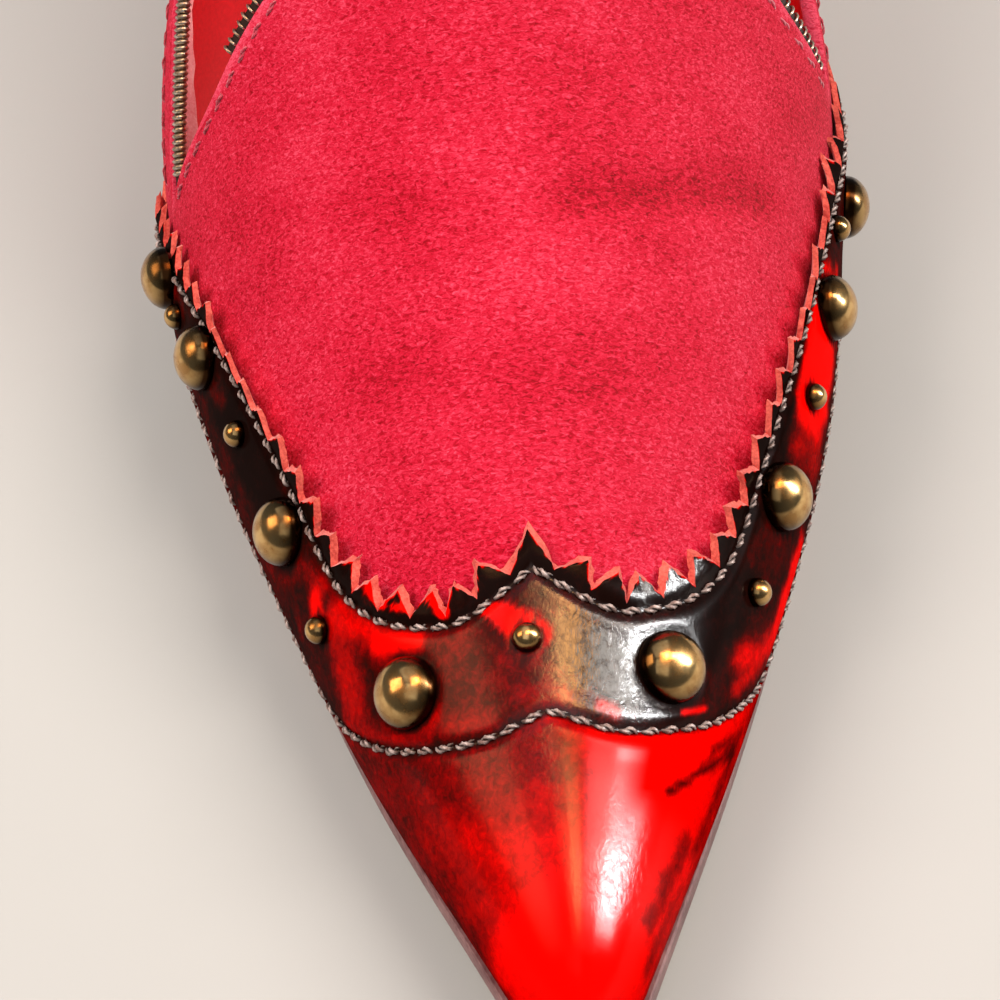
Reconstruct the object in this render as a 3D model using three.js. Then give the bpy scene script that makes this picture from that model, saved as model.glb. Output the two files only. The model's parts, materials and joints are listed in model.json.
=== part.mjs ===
// A right pump with a pointed toe: lasted suede upper with a high tongue, pinked leather wing tip set
// with dome studs, zip trim, insole, outsole, slim heel and top piece.
// Millimetres, +Z up. The toe points towards -Y and the inner side of the foot is towards +X.
// On the last, "at" is the distance back from the toe tip and "across" runs over a section from
// -1 at the outer featherline, through 0 on the ridge, to +1 at the inner featherline.
import * as THREE from 'three';

// Driving dimensions of the last
const LENGTH = 246; // toe tip to back seam along the floor
const TOE_ROUND = 7; // length of the rounded toe tip
const SEAT_ROUND = 27; // length of the rounded seat
const LOW_HANDLE = 0.45; // height of a section's lower handle, as a share of its rise
const BULGE_HANDLE = 3.5; // how far a section's lower handle leans out, as a multiple of its swell
const BROW = 0.62; // width of a section's upper handle, as a share of its half width
const LEAN_REACH = 45; // length of the heel part where the back curve acts
const LEAN_OUT = 0.3; // slope of the back curve at the featherline
const LEAN_IN = 0.0075; // how fast the back curve turns in again, per millimetre of height

// Leather, fits and wall
const GAP = 0.3; // room between pieces that meet
const WING_THICKNESS = 1.2; // leather of the wing tip
const WING_GAP = 0.45; // room between wing tip and upper
const UPPER_DEPTH = WING_THICKNESS + WING_GAP; // upper's face below the wing tip's face
const WALL = 1.8; // suede with its lining
const TIP_DRAW = 1.33; // how far a deeper layer's toe tip draws back, per millimetre of depth
const TIP_REACH = 40; // length over which that draws back
const TIP_BLUNT = 0.72; // bluntness of a deeper layer's toe tip, per millimetre of depth

// Collar
const NOTCH_AT = 111.8; // bottom of the notch between tongue and quarter
const NOTCH_ACROSS = 0.7;
const SLANT_BACK = 150; // where the pattern's slant starts to fade
const SLANT_END = 240;

// Wing tip
const TOOTH_PITCH = 4.6;
const TOOTH_FOOT = 0.9; // foot of a pinked tooth above the seam
const TOOTH_TIP = 3.8; // tip of a pinked tooth above the seam
const WING_HEM_END = 139; // where the wing's hem ends on the featherline
const WING_TIP_SHARE = 0.12; // share of the seam whose leather gathers at the toe tip
const WING_HEM_EASE = 1.05; // how the hem's stations crowd towards the toe tip

// Studs
const STUD_LARGE = { radius: 3.9, height: 3, skirt: 0.4, sides: 14, rings: 3 };
const STUD_SMALL = { radius: 1.6, height: 1.5, skirt: 0.3, sides: 9, rings: 2 };

// Zip trim
const ZIP_WIDTH = 2.6;
const ZIP_THICKNESS = 1.4;
const ZIP_TONGUE_END = 0.5; // how far across the tongue's row of teeth reaches
const ZIP_TOPLINE_START = 3; // distance of the topline's row of teeth from the notch

// Sole, insole and heel
const SOLE_THICKNESS = 3.2;
const SOLE_TIP_EDGE = 1; // how far the sole stands out before the toe tip
const SOLE_BEVEL = 0.8;
const INSOLE_THICKNESS = 2.4;
const INSOLE_INSET = 5;
const INSOLE_START = 11;
const BREAST_AT = 197; // front of the heel's seat
const SEAT_INSET = 1.8;
const TOP_PIECE_HEIGHT = 6;
const HEEL_STRAIGHT = 0.45; // share of a heel section that is straight before it rounds

// Sections of the last: featherline height, rise of the ridge above it, middle of the section,
// the ridge's shift from that middle, half widths at the featherline, and swell of the wall.
const LAST = [
  { at: 0, feather: 8.6, rise: 9, middle: 8.2, crest: 0, lateral: 3.2, medial: 3.2, swell: 0.6 },
  { at: 12, feather: 7, rise: 14, middle: 7.4, crest: 0, lateral: 8.9, medial: 8.1, swell: 1 },
  { at: 30, feather: 5, rise: 20.5, middle: 5.6, crest: 0, lateral: 17.1, medial: 16.1, swell: 1.6 },
  { at: 55, feather: 3.6, rise: 30, middle: 3, crest: 0.6, lateral: 26.2, medial: 26.4, swell: 2.4 },
  { at: 80, feather: 3.5, rise: 40, middle: 1.6, crest: 1.6, lateral: 34.9, medial: 33.4, swell: 3.4 },
  { at: 103, feather: 3.5, rise: 52.5, middle: 0, crest: 2, lateral: 39, medial: 36.6, swell: 4.5 },
  { at: 125, feather: 8.5, rise: 67, middle: 0, crest: 1.5, lateral: 38.6, medial: 35, swell: 6 },
  { at: 150, feather: 26, rise: 80, middle: 0, crest: 0.5, lateral: 30.5, medial: 26, swell: 5.4 },
  { at: 178, feather: 50.5, rise: 84, middle: 0, crest: 0, lateral: 25, medial: 22.5, swell: 4 },
  { at: 206, feather: 69.5, rise: 80, middle: 0, crest: 0, lateral: 25, medial: 24.5, swell: 3 },
  { at: 246, feather: 83.5, rise: 74, middle: 0, crest: 0, lateral: 26.5, medial: 26.5, swell: 2.6 },
];

// Seam of the wing tip, from its peak on the ridge to the end of a wing.
const WING_SEAM = [
  { at: 45.2, across: 0 },
  { at: 42.9, across: 0.085 },
  { at: 41.2, across: 0.19 },
  { at: 41.6, across: 0.285 },
  { at: 43.4, across: 0.38 },
  { at: 46.5, across: 0.46 },
  { at: 51, across: 0.512 },
  { at: 58, across: 0.534 },
  { at: 70, across: 0.56 },
  { at: 84, across: 0.61 },
  { at: 96, across: 0.67 },
  { at: 106, across: 0.735 },
  { at: 116, across: 0.803 },
  { at: 127, across: 0.885 },
  { at: 137, across: 0.965 },
];

// Slant of the pattern pieces, which lie turned on the last so that the inner side is further back:
// how far back for each unit across.
const SLANT = [
  { at: 0, slant: 0 },
  { at: 30, slant: 1.7 },
  { at: 60, slant: 1.8 },
  { at: 90, slant: 3.3 },
  { at: NOTCH_AT, slant: 7.1 },
  { at: SLANT_BACK, slant: 7.1 },
];

// Edge of the tongue: how far it reaches back behind the notch.
const TONGUE = [
  { across: 0, reach: 8.2 },
  { across: 0.2, reach: 7.1 },
  { across: 0.38, reach: 4.3 },
  { across: 0.45, reach: 2.6 },
  { across: 0.5, reach: 1.2 },
  { across: 0.55, reach: 0.4 },
  { across: 0.61, reach: 0.1 },
  { across: NOTCH_ACROSS, reach: 0 },
];

// Topline of the quarters, from the notch to the back seam.
const TOPLINE = [
  { at: NOTCH_AT, across: NOTCH_ACROSS },
  { at: 116, across: 0.672 },
  { at: 121, across: 0.642 },
  { at: 128, across: 0.618 },
  { at: 140, across: 0.618 },
  { at: 155, across: 0.64 },
  { at: 180, across: 0.665 },
  { at: 206, across: 0.635 },
  { at: 230, across: 0.55 },
  { at: 246, across: 0.47 },
];

// Edge of the sole: how far it stands out past the featherline, and its thickness.
const SOLE = [
  { at: 0, edge: 1, thickness: SOLE_THICKNESS },
  { at: 60, edge: 0.8, thickness: SOLE_THICKNESS },
  { at: 105, edge: 0.6, thickness: SOLE_THICKNESS },
  { at: 130, edge: -1.2, thickness: 2.9 },
  { at: 160, edge: -2.6, thickness: 2.6 },
  { at: 197, edge: -2.2, thickness: 2.4 },
];

// Sections of the heel, from its seat to the top piece: front and back edge with their heights.
const HEEL = [
  { front: BREAST_AT, frontZ: 63.2, back: 244.2, backZ: 82.6, half: 23.3 },
  { front: 204.5, frontZ: 54, back: 244.6, backZ: 74, half: 19.6 },
  { front: 211, frontZ: 44, back: 243.6, backZ: 63, half: 15 },
  { front: 216.5, frontZ: 34, back: 241.6, backZ: 50, half: 11 },
  { front: 220.8, frontZ: 24, back: 239.2, backZ: 35.5, half: 8 },
  { front: 223.6, frontZ: 14, back: 237.2, backZ: 20, half: 6 },
  { front: 225, frontZ: TOP_PIECE_HEIGHT + GAP, back: 236, backZ: TOP_PIECE_HEIGHT + GAP, half: 5 },
];

// Studs on each wing, from the toe to the back.
const STUDS = [
  { size: 'large', at: 36.5, lateral: 0.415, medial: 0.383 },
  { size: 'small', at: 48.9, lateral: 0.64, medial: 0.623 },
  { size: 'large', at: 60.6, lateral: 0.62, medial: 0.625 },
  { size: 'small', at: 74.1, lateral: 0.64, medial: 0.657 },
  { size: 'large', at: 86.7, lateral: 0.675, medial: 0.69 },
  { size: 'small', at: 97, lateral: 0.735, medial: 0.705 },
  { size: 'large', at: 104.5, lateral: 0.75, medial: 0.81 },
];
const CENTRE_STUD = { at: 38, across: -0.032 };

// Mesh rows of the upper along the shoe, and shares of a wing station from hem towards seam
const TOE_ROWS = [0, 0.6, 2.4, 5.2, 9, 14];
const VAMP_ROWS = 15;
const TONGUE_ROWS = 3;
const TONGUE_COLUMNS = 16;
const QUARTER_ROWS = [113.6, 115.2, 117.5, 121, 126, 132, 139, 147, 156, 166, 176, 186, 196, 206];
const SEAT_TURNS = 9;
const QUARTER_COLUMNS = 5;
const WING_ROWS = [0, 0.012, 0.05, 0.13, 0.28, 0.5, 0.76, 1];

// Mesh steps of the other pieces
const SEAM_STEPS = 400;
const SEAM_NUDGE = 0.25; // part of half a tooth over which the seam's direction is taken
const ZIP_TONGUE_STEPS = 24;
const INSOLE_ROWS = 26;
const SOLE_TOE_ROWS = [-SOLE_TIP_EDGE, -0.6, 0.6, 2.6, 5, 8.5];
const SOLE_ROWS_START = 14;
const SOLE_ROWS = 34;
const HEEL_ROWS = 14;
const HEEL_STRAIGHT_STEPS = 2;
const HEEL_ROUND_STEPS = 5;
const MERGE_GRID = 1e-4; // points closer than this are one

const { clamp, lerp, smoothstep } = THREE.MathUtils;

// Natural cubic spline of one column of a table over another.
function curveOf(table, key, column) {
  const x = table.map((row) => row[key]);
  const y = table.map((row) => row[column]);
  const end = x.length - 1;
  const bend = x.map(() => 0);
  const carry = x.map(() => 0);
  for (let i = 1; i < end; i += 1) {
    const share = (x[i] - x[i - 1]) / (x[i + 1] - x[i - 1]);
    const pivot = share * bend[i - 1] + 2;
    const turn = (y[i + 1] - y[i]) / (x[i + 1] - x[i]) - (y[i] - y[i - 1]) / (x[i] - x[i - 1]);
    bend[i] = (share - 1) / pivot;
    carry[i] = ((6 * turn) / (x[i + 1] - x[i - 1]) - share * carry[i - 1]) / pivot;
  }
  for (let i = end - 1; i > 0; i -= 1) {
    bend[i] = bend[i] * bend[i + 1] + carry[i];
  }
  return (value) => {
    const above = x.findIndex((knot) => knot > value);
    const i = above < 0 ? end - 1 : Math.max(above - 1, 0);
    const span = x[i + 1] - x[i];
    const after = (value - x[i]) / span;
    const before = 1 - after;
    const curl = (before ** 3 - before) * bend[i] + (after ** 3 - after) * bend[i + 1];
    return before * y[i] + after * y[i + 1] + (curl * span * span) / 6;
  };
}

const last = {};
for (const column of ['feather', 'rise', 'middle', 'crest', 'lateral', 'medial', 'swell']) {
  last[column] = curveOf(LAST, 'at', column);
}
const tongueReach = curveOf(TONGUE, 'across', 'reach');
const toplineAcross = curveOf(TOPLINE, 'at', 'across');
const soleEdge = curveOf(SOLE, 'at', 'edge');
const soleThickness = curveOf(SOLE, 'at', 'thickness');
const slantOf = curveOf(SLANT, 'at', 'slant');

// Quarter-circle rounding that grows from 0 at an end to 1 at the given distance.
function roundEnd(distance, reach) {
  const short = clamp(1 - distance / reach, 0, 1);
  return Math.sqrt(1 - short * short);
}

// Point on the last's surface. Each half of a section is one cubic curve from featherline to ridge.
function lastPoint(at, across) {
  const side = across < 0 ? -1 : 1;
  const toe = roundEnd(at, TOE_ROUND);
  const ends = toe * roundEnd(LENGTH - at, SEAT_ROUND);
  const half = side * (across < 0 ? last.lateral(at) : last.medial(at)) * ends;
  const bulge = side * BULGE_HANDLE * last.swell(at) * ends;
  const rise = last.rise(at) * toe;
  const crest = last.crest(at) * ends;
  const section = new THREE.CubicBezierCurve(
    new THREE.Vector2(half, 0),
    new THREE.Vector2(half + bulge, LOW_HANDLE * rise),
    new THREE.Vector2(BROW * half + crest, rise),
    new THREE.Vector2(crest, rise),
  );
  const spot = section.getPoint(1 - Math.abs(across));
  const heelPart = clamp((at - LENGTH + LEAN_REACH) / LEAN_REACH, 0, 1) ** 2;
  const lean = heelPart * (LEAN_OUT * spot.y - LEAN_IN * spot.y * spot.y);
  return new THREE.Vector3(last.middle(at) + spot.x, at + lean, last.feather(at) + spot.y);
}

// Directions of the surface along the shoe and across the section, and its outward normal.
function lastFrame(at, across) {
  const step = 0.05;
  const turn = 0.004;
  const ahead = Math.min(at + step, LENGTH);
  const behind = ahead - 2 * step;
  const along = lastPoint(ahead, across).sub(lastPoint(behind, across)).divideScalar(2 * step);
  const over = lastPoint(at, across + turn).sub(lastPoint(at, across - turn)).divideScalar(2 * turn);
  const normal = new THREE.Vector3().crossVectors(over, along);
  if (at >= LENGTH) {
    normal.x = 0;
  }
  return { along, over, normal: normal.normalize() };
}

// Point of a layer that lies the given depth below the last's surface. Its toe tip draws back, and its
// edge at the featherline stays on the featherline's height.
function layerPoint(at, across, depth) {
  const drawn = TIP_DRAW * depth * clamp(1 - at / TIP_REACH, 0, 1) ** 2;
  const from = at + Math.max(drawn, 0);
  if (at === 0 && depth > 0) {
    return new THREE.Vector3(last.middle(from), from + TIP_BLUNT * depth, last.feather(from));
  }
  const point = lastPoint(from, across);
  if (depth === 0) {
    return point;
  }
  const inward = lastFrame(from, across).normal.negate();
  if (Math.abs(across) === 1) {
    inward.z = 0;
    inward.divideScalar(inward.lengthSq());
  }
  return point.addScaledVector(inward, depth);
}

// Where a row of the pattern lies on the last, with its slant.
function slanted(at, across) {
  const fade = 1 - smoothstep(at, SLANT_BACK, SLANT_END);
  return at + slantOf(Math.min(at, SLANT_BACK)) * fade * across;
}

// Name of a point's place, equal for points that are one.
function placeKey(point) {
  return point.toArray().map((value) => Math.round(value / MERGE_GRID)).join(' ');
}

// Closed solid from vertices and triangles: merges equal vertices, drops empty triangles and turns all
// faces outwards.
function closedGeometry(points, triangles) {
  const known = new Map();
  const positions = [];
  const index = points.map((point) => {
    const key = placeKey(point);
    if (!known.has(key)) {
      known.set(key, known.size);
      positions.push(...point.toArray());
    }
    return known.get(key);
  });
  const faces = triangles
    .map((corners) => corners.map((corner) => index[corner]))
    .filter(([a, b, c]) => a !== b && b !== c && c !== a);
  const vertex = (i) => new THREE.Vector3().fromArray(positions, 3 * i);
  const volume = faces.reduce((sum, [a, b, c]) => sum + vertex(a).dot(vertex(b).cross(vertex(c))), 0);
  const outward = volume < 0 ? faces.map(([a, b, c]) => [a, c, b]) : faces;
  const geometry = new THREE.BufferGeometry();
  geometry.setAttribute('position', new THREE.Float32BufferAttribute(positions, 3));
  geometry.setIndex(outward.flat());
  geometry.computeVertexNormals();
  return geometry;
}

// Two triangles of a four-sided face.
function quad(a, b, c, d) {
  return [[a, b, c], [a, c, d]];
}

// A sheet of patches with an outer and an inner face. Its free edges are closed by a rim.
class Sheet {
  constructor() {
    this.outer = [];
    this.inner = [];
    this.triangles = [];
    this.known = new Map();
  }

  add({ outer, inner }) {
    const key = placeKey(outer);
    if (!this.known.has(key)) {
      this.known.set(key, this.outer.length);
      this.outer.push(outer);
      this.inner.push(inner);
    }
    return this.known.get(key);
  }

  patch(rows, columns, place) {
    const grid = rows.map((row) => columns.map((column) => this.add(place(row, column))));
    for (let r = 1; r < rows.length; r += 1) {
      for (let c = 1; c < columns.length; c += 1) {
        const corners = [grid[r - 1][c - 1], grid[r - 1][c], grid[r][c], grid[r][c - 1]];
        const whole = quad(...corners).filter(([a, b, d]) => a !== b && b !== d && d !== a);
        this.triangles.push(...whole);
      }
    }
  }

  solid() {
    const count = this.outer.length;
    const edges = new Set();
    for (const [a, b, c] of this.triangles) {
      edges.add(`${a} ${b}`).add(`${b} ${c}`).add(`${c} ${a}`);
    }
    const faces = [...this.triangles];
    for (const [a, b, c] of this.triangles) {
      faces.push([count + a, count + c, count + b]);
      for (const [from, to] of [[a, b], [b, c], [c, a]]) {
        if (!edges.has(`${to} ${from}`)) {
          faces.push(...quad(to, from, count + from, count + to));
        }
      }
    }
    return closedGeometry([...this.outer, ...this.inner], faces);
  }
}

// Solid through rings of equal length. Both end rings are closed by strips between opposite points.
function loft(rings) {
  const size = rings[0].length;
  const triangles = [];
  for (let r = 1; r < rings.length; r += 1) {
    for (let i = 0; i < size; i += 1) {
      const next = (i + 1) % size;
      const before = (r - 1) * size;
      triangles.push(...quad(before + i, before + next, r * size + next, r * size + i));
    }
  }
  const end = (rings.length - 1) * size;
  for (let i = 0; 2 * i + 2 < size; i += 1) {
    const facing = size - 1 - i;
    triangles.push(...quad(facing, facing - 1, i + 1, i));
    triangles.push(...quad(end + i, end + i + 1, end + facing - 1, end + facing));
  }
  return closedGeometry(rings.flat(), triangles);
}

// Evenly spread values, both ends included.
function spread(from, to, steps) {
  return Array.from({ length: steps + 1 }, (_, i) => lerp(from, to, i / steps));
}

// Rows that close up towards the back seam as the seat rounds.
function seatRows() {
  return spread(0, 1, SEAT_TURNS).map((turn) => LENGTH - SEAT_ROUND * (1 - Math.sin((turn * Math.PI) / 2)));
}

// Lasted upper: vamp with toe, tongue and the two quarters, all one wall.
function upperGeometry() {
  const sheet = new Sheet();
  const place = (at, across) => ({
    outer: layerPoint(slanted(at, across), across, UPPER_DEPTH),
    inner: layerPoint(slanted(at, across), across, UPPER_DEPTH + WALL),
  });
  const vampRows = [...TOE_ROWS, ...spread(TOE_ROWS.at(-1), NOTCH_AT, VAMP_ROWS).slice(1)];
  const tongueColumns = spread(-NOTCH_ACROSS, NOTCH_ACROSS, TONGUE_COLUMNS);
  const lateral = spread(-1, -NOTCH_ACROSS, QUARTER_COLUMNS);
  const medial = spread(NOTCH_ACROSS, 1, QUARTER_COLUMNS);
  sheet.patch(vampRows, [...lateral, ...tongueColumns.slice(1, -1), ...medial], place);
  sheet.patch(spread(0, 1, TONGUE_ROWS), tongueColumns, (share, across) =>
    place(NOTCH_AT + share * tongueReach(Math.abs(across)), across));
  const quarterRows = [NOTCH_AT, ...QUARTER_ROWS, ...seatRows()];
  const shares = spread(0, 1, QUARTER_COLUMNS);
  sheet.patch(quarterRows, shares, (at, share) => place(at, lerp(-1, -toplineAcross(at), share)));
  sheet.patch(quarterRows, shares, (at, share) => place(at, lerp(toplineAcross(at), 1, share)));
  return sheet.solid();
}

// Half of the wing tip's seam by length, so that its pinked teeth are evenly spaced.
function wingSeam() {
  const table = WING_SEAM.map((row, order) => ({ ...row, order }));
  const at = curveOf(table, 'order', 'at');
  const across = curveOf(table, 'order', 'across');
  const steps = spread(0, table.length - 1, SEAM_STEPS);
  const run = [0];
  for (let i = 1; i < steps.length; i += 1) {
    const here = lastPoint(at(steps[i]), across(steps[i]));
    const before = lastPoint(at(steps[i - 1]), across(steps[i - 1]));
    run.push(run[i - 1] + here.distanceTo(before));
  }
  const length = run.at(-1);
  const spot = (share) => {
    const i = Math.max(run.findIndex((value) => value >= share * length), 0);
    return { at: at(steps[i]), across: Math.max(across(steps[i]), 0) };
  };
  return { length, spot };
}

// Place that lies a distance from a place on the last, square to a seam that runs through it.
function besideSeam(place, towards, distance) {
  const { along, over, normal } = lastFrame(place.at, place.across);
  const forward = lastPoint(towards.at, towards.across).sub(lastPoint(place.at, place.across));
  const up = new THREE.Vector3().crossVectors(normal, forward).normalize().multiplyScalar(distance);
  const aa = along.dot(along);
  const ao = along.dot(over);
  const oo = over.dot(over);
  const scale = aa * oo - ao * ao;
  return {
    at: place.at + (oo * up.dot(along) - ao * up.dot(over)) / scale,
    across: place.across + (aa * up.dot(over) - ao * up.dot(along)) / scale,
  };
}

// Pinked wing tip: from the sole's edge round the toe up to the toothed edge over the vamp.
function wingGeometry() {
  const { length, spot } = wingSeam();
  const halfTeeth = 2 * Math.round(length / TOOTH_PITCH) + 1;
  const nudge = SEAM_NUDGE / halfTeeth;
  const station = (order) => {
    const side = Math.sign(order) || 1;
    const share = Math.abs(order) / halfTeeth;
    const seam = spot(share);
    const beyond = (share - WING_TIP_SHARE) / (1 - WING_TIP_SHARE);
    const hem = {
      at: WING_HEM_END * Math.max(beyond, 0) ** WING_HEM_EASE,
      across: Math.min(share / WING_TIP_SHARE, 1),
    };
    const rise = order % 2 === 0 ? TOOTH_TIP : TOOTH_FOOT;
    const peak = { at: seam.at + rise, across: 0 };
    const back = spot(Math.max(share - nudge, 0));
    const front = spot(Math.min(share + nudge, 1));
    const edge = order === 0 ? peak : besideSeam(seam, { at: seam.at + back.at - front.at,
      across: seam.across + back.across - front.across }, -rise);
    return { side, seam, hem, edge };
  };
  const sheet = new Sheet();
  const stations = [];
  for (let order = -halfTeeth; order <= halfTeeth; order += 1) {
    stations.push(station(order));
  }
  sheet.patch(stations, [...WING_ROWS, 'edge'], ({ side, seam, hem, edge }, share) => {
    const at = share === 'edge' ? edge.at : lerp(hem.at, seam.at, share);
    const across = side * (share === 'edge' ? edge.across : lerp(hem.across, seam.across, share));
    const on = slanted(at, across);
    return { outer: layerPoint(on, across, 0), inner: layerPoint(on, across, WING_THICKNESS) };
  });
  return sheet.solid();
}

// Strip of zip teeth that continues the upper's wall beyond a free edge.
function zipGeometry(places) {
  const middle = UPPER_DEPTH + WALL / 2;
  const centres = places.map(({ at, across }) => layerPoint(at, across, middle));
  const rings = places.map(({ at, across }, i) => {
    const before = centres[Math.max(i - 1, 0)];
    const after = centres[Math.min(i + 1, centres.length - 1)];
    const run = after.clone().sub(before).normalize();
    const normal = lastFrame(at, across).normal;
    const away = new THREE.Vector3().crossVectors(normal, run).normalize();
    const thick = new THREE.Vector3().crossVectors(run, away);
    const corner = (distance, lift) => centres[i].clone().addScaledVector(away, distance)
      .addScaledVector(thick, lift);
    return [
      corner(GAP, -ZIP_THICKNESS / 2),
      corner(GAP, ZIP_THICKNESS / 2),
      corner(GAP + ZIP_WIDTH, ZIP_THICKNESS / 2),
      corner(GAP + ZIP_WIDTH, -ZIP_THICKNESS / 2),
    ];
  });
  return loft(rings);
}

// Row of teeth along the tongue's edge.
function zipTongueGeometry() {
  return zipGeometry(spread(-ZIP_TONGUE_END, ZIP_TONGUE_END, ZIP_TONGUE_STEPS).map((across) => ({
    at: slanted(NOTCH_AT + tongueReach(Math.abs(across)), across),
    across,
  })));
}

// Row of teeth along the topline, from one notch round the back seam to the other.
function zipToplineGeometry() {
  const rows = [NOTCH_AT + ZIP_TOPLINE_START, ...QUARTER_ROWS.slice(2), ...seatRows()];
  const place = (at, side) => {
    const across = side * toplineAcross(at);
    return { at: slanted(at, across), across };
  };
  const medial = rows.map((at) => place(at, 1));
  const lateral = rows.slice(0, -1).reverse().map((at) => place(at, -1));
  return zipGeometry([...medial, ...lateral]);
}

// Half width of the last's featherline, inset by the given amount, with both ends rounded.
function featherHalf(at, side, inset) {
  const half = side < 0 ? last.lateral(at) : last.medial(at);
  const seat = roundEnd(LENGTH - inset - at, SEAT_ROUND - inset);
  return last.middle(at) + side * Math.max(half - inset, 0) * seat;
}

// Insole board with its sock, on the featherline inside the upper.
function insoleGeometry() {
  const end = LENGTH - INSOLE_INSET;
  const straight = spread(INSOLE_START, LENGTH - SEAT_ROUND, INSOLE_ROWS);
  const turn = spread(0, 1, SEAT_TURNS).slice(1)
    .map((share) => end - (SEAT_ROUND - INSOLE_INSET) * (1 - Math.sin((share * Math.PI) / 2)));
  const rings = [...straight, ...turn].map((at) => {
    const bottom = last.feather(at);
    const outer = featherHalf(at, -1, INSOLE_INSET);
    const inner = featherHalf(at, 1, INSOLE_INSET);
    return [
      new THREE.Vector3(outer, at, bottom),
      new THREE.Vector3(outer, at, bottom + INSOLE_THICKNESS),
      new THREE.Vector3(inner, at, bottom + INSOLE_THICKNESS),
      new THREE.Vector3(inner, at, bottom),
    ];
  });
  return loft(rings);
}

// Outsole from the toe tip to the heel's breast, with toe spring, flat tread and raised waist.
function outsoleGeometry() {
  const rows = [...SOLE_TOE_ROWS, ...spread(SOLE_ROWS_START, BREAST_AT - GAP, SOLE_ROWS)];
  const rings = rows.map((at) => {
    const on = Math.max(at, 0);
    const tip = roundEnd(at + SOLE_TIP_EDGE, TOE_ROUND + SOLE_TIP_EDGE);
    const top = last.feather(on) - GAP;
    const bottom = Math.max(top - soleThickness(on), 0);
    const middle = last.middle(on);
    const outer = -(last.lateral(on) + soleEdge(on)) * tip;
    const inner = (last.medial(on) + soleEdge(on)) * tip;
    const bevel = SOLE_BEVEL * tip;
    return [
      new THREE.Vector3(middle + outer, at, top),
      new THREE.Vector3(middle + outer, at, bottom + SOLE_BEVEL),
      new THREE.Vector3(middle + outer + bevel, at, bottom),
      new THREE.Vector3(middle + inner - bevel, at, bottom),
      new THREE.Vector3(middle + inner, at, bottom + SOLE_BEVEL),
      new THREE.Vector3(middle + inner, at, top),
    ];
  });
  return loft(rings);
}

// Shares from the front to the back of a heel section, with its width there: straight, then round.
function heelOutline() {
  const straight = spread(0, HEEL_STRAIGHT, HEEL_STRAIGHT_STEPS).map((share) => ({ share, width: 1 }));
  const round = spread(0, Math.PI / 2, HEEL_ROUND_STEPS).slice(1).map((angle) => ({
    share: HEEL_STRAIGHT + (1 - HEEL_STRAIGHT) * Math.sin(angle),
    width: Math.cos(angle),
  }));
  return [...straight, ...round];
}

// Ring of a heel section, down one side and back up the other.
function heelRing(place) {
  const outline = heelOutline();
  const outer = outline.map((spot) => place(spot, -1));
  const inner = outline.slice(0, -1).reverse().map((spot) => place(spot, 1));
  return [...outer, ...inner];
}

// Slim heel, lofted from the round seat under the upper to the top piece.
function heelGeometry() {
  const seatEnd = LENGTH - SEAT_INSET;
  const seat = heelRing(({ share }, side) => {
    const at = lerp(BREAST_AT, seatEnd, share);
    const x = share === 1 ? 0 : featherHalf(at, side, SEAT_INSET);
    return new THREE.Vector3(x, at, last.feather(at) - GAP);
  });
  const table = HEEL.map((row, order) => ({ ...row, order }));
  const [front, frontZ, back, backZ, half] = ['front', 'frontZ', 'back', 'backZ', 'half']
    .map((column) => curveOf(table, 'order', column));
  const lower = spread(0, table.length - 1, HEEL_ROWS).slice(1).map((order) =>
    heelRing(({ share, width }, side) => new THREE.Vector3(
      side * half(order) * width,
      lerp(front(order), back(order), share),
      lerp(frontZ(order), backZ(order), share),
    )));
  return loft([seat, ...lower]);
}

// Top piece: the wearing tip under the heel.
function topPieceGeometry() {
  const { front, back, half } = HEEL.at(-1);
  const rings = [TOP_PIECE_HEIGHT, 0].map((z) => heelRing(({ share, width }, side) =>
    new THREE.Vector3(side * half * width, lerp(front, back, share), z)));
  return loft(rings);
}

// Dome stud on its flat base, about its own axis.
function studGeometry({ radius, height, skirt, sides, rings }) {
  const dome = spread(0, Math.PI / 2, rings).map((angle) =>
    new THREE.Vector2(radius * Math.cos(angle), skirt + (height - skirt) * Math.sin(angle)));
  dome.at(-1).x = 0;
  const profile = [new THREE.Vector2(0, 0), new THREE.Vector2(radius, 0), ...dome];
  const turned = new THREE.LatheGeometry(profile, sides);
  const points = [];
  for (let i = 0; i < turned.attributes.position.count; i += 1) {
    points.push(new THREE.Vector3().fromBufferAttribute(turned.attributes.position, i));
  }
  const corners = turned.index.array;
  const triangles = [];
  for (let i = 0; i < corners.length; i += 3) {
    triangles.push([corners[i], corners[i + 1], corners[i + 2]]);
  }
  return closedGeometry(points, triangles);
}

const suede = new THREE.MeshStandardMaterial({ color: '#c02045', roughness: 0.95 });
const burnished = new THREE.MeshStandardMaterial({ color: '#a80c10', roughness: 0.2 });
const sock = new THREE.MeshStandardMaterial({ color: '#c41a28', roughness: 0.6 });
const soleLeather = new THREE.MeshStandardMaterial({ color: '#b89a78', roughness: 0.6 });
const heelCover = new THREE.MeshStandardMaterial({ color: '#8e0c12', roughness: 0.3 });
const rubber = new THREE.MeshStandardMaterial({ color: '#181615', roughness: 0.8 });
const zipMetal = new THREE.MeshStandardMaterial({ color: '#5b4f45', roughness: 0.4, metalness: 1 });
const brass = new THREE.MeshStandardMaterial({ color: '#b8924a', roughness: 0.2, metalness: 1 });

const pump = new THREE.Group();

function addPiece(name, geometry, material) {
  const mesh = new THREE.Mesh(geometry, material);
  mesh.name = name;
  pump.add(mesh);
  return mesh;
}

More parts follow.
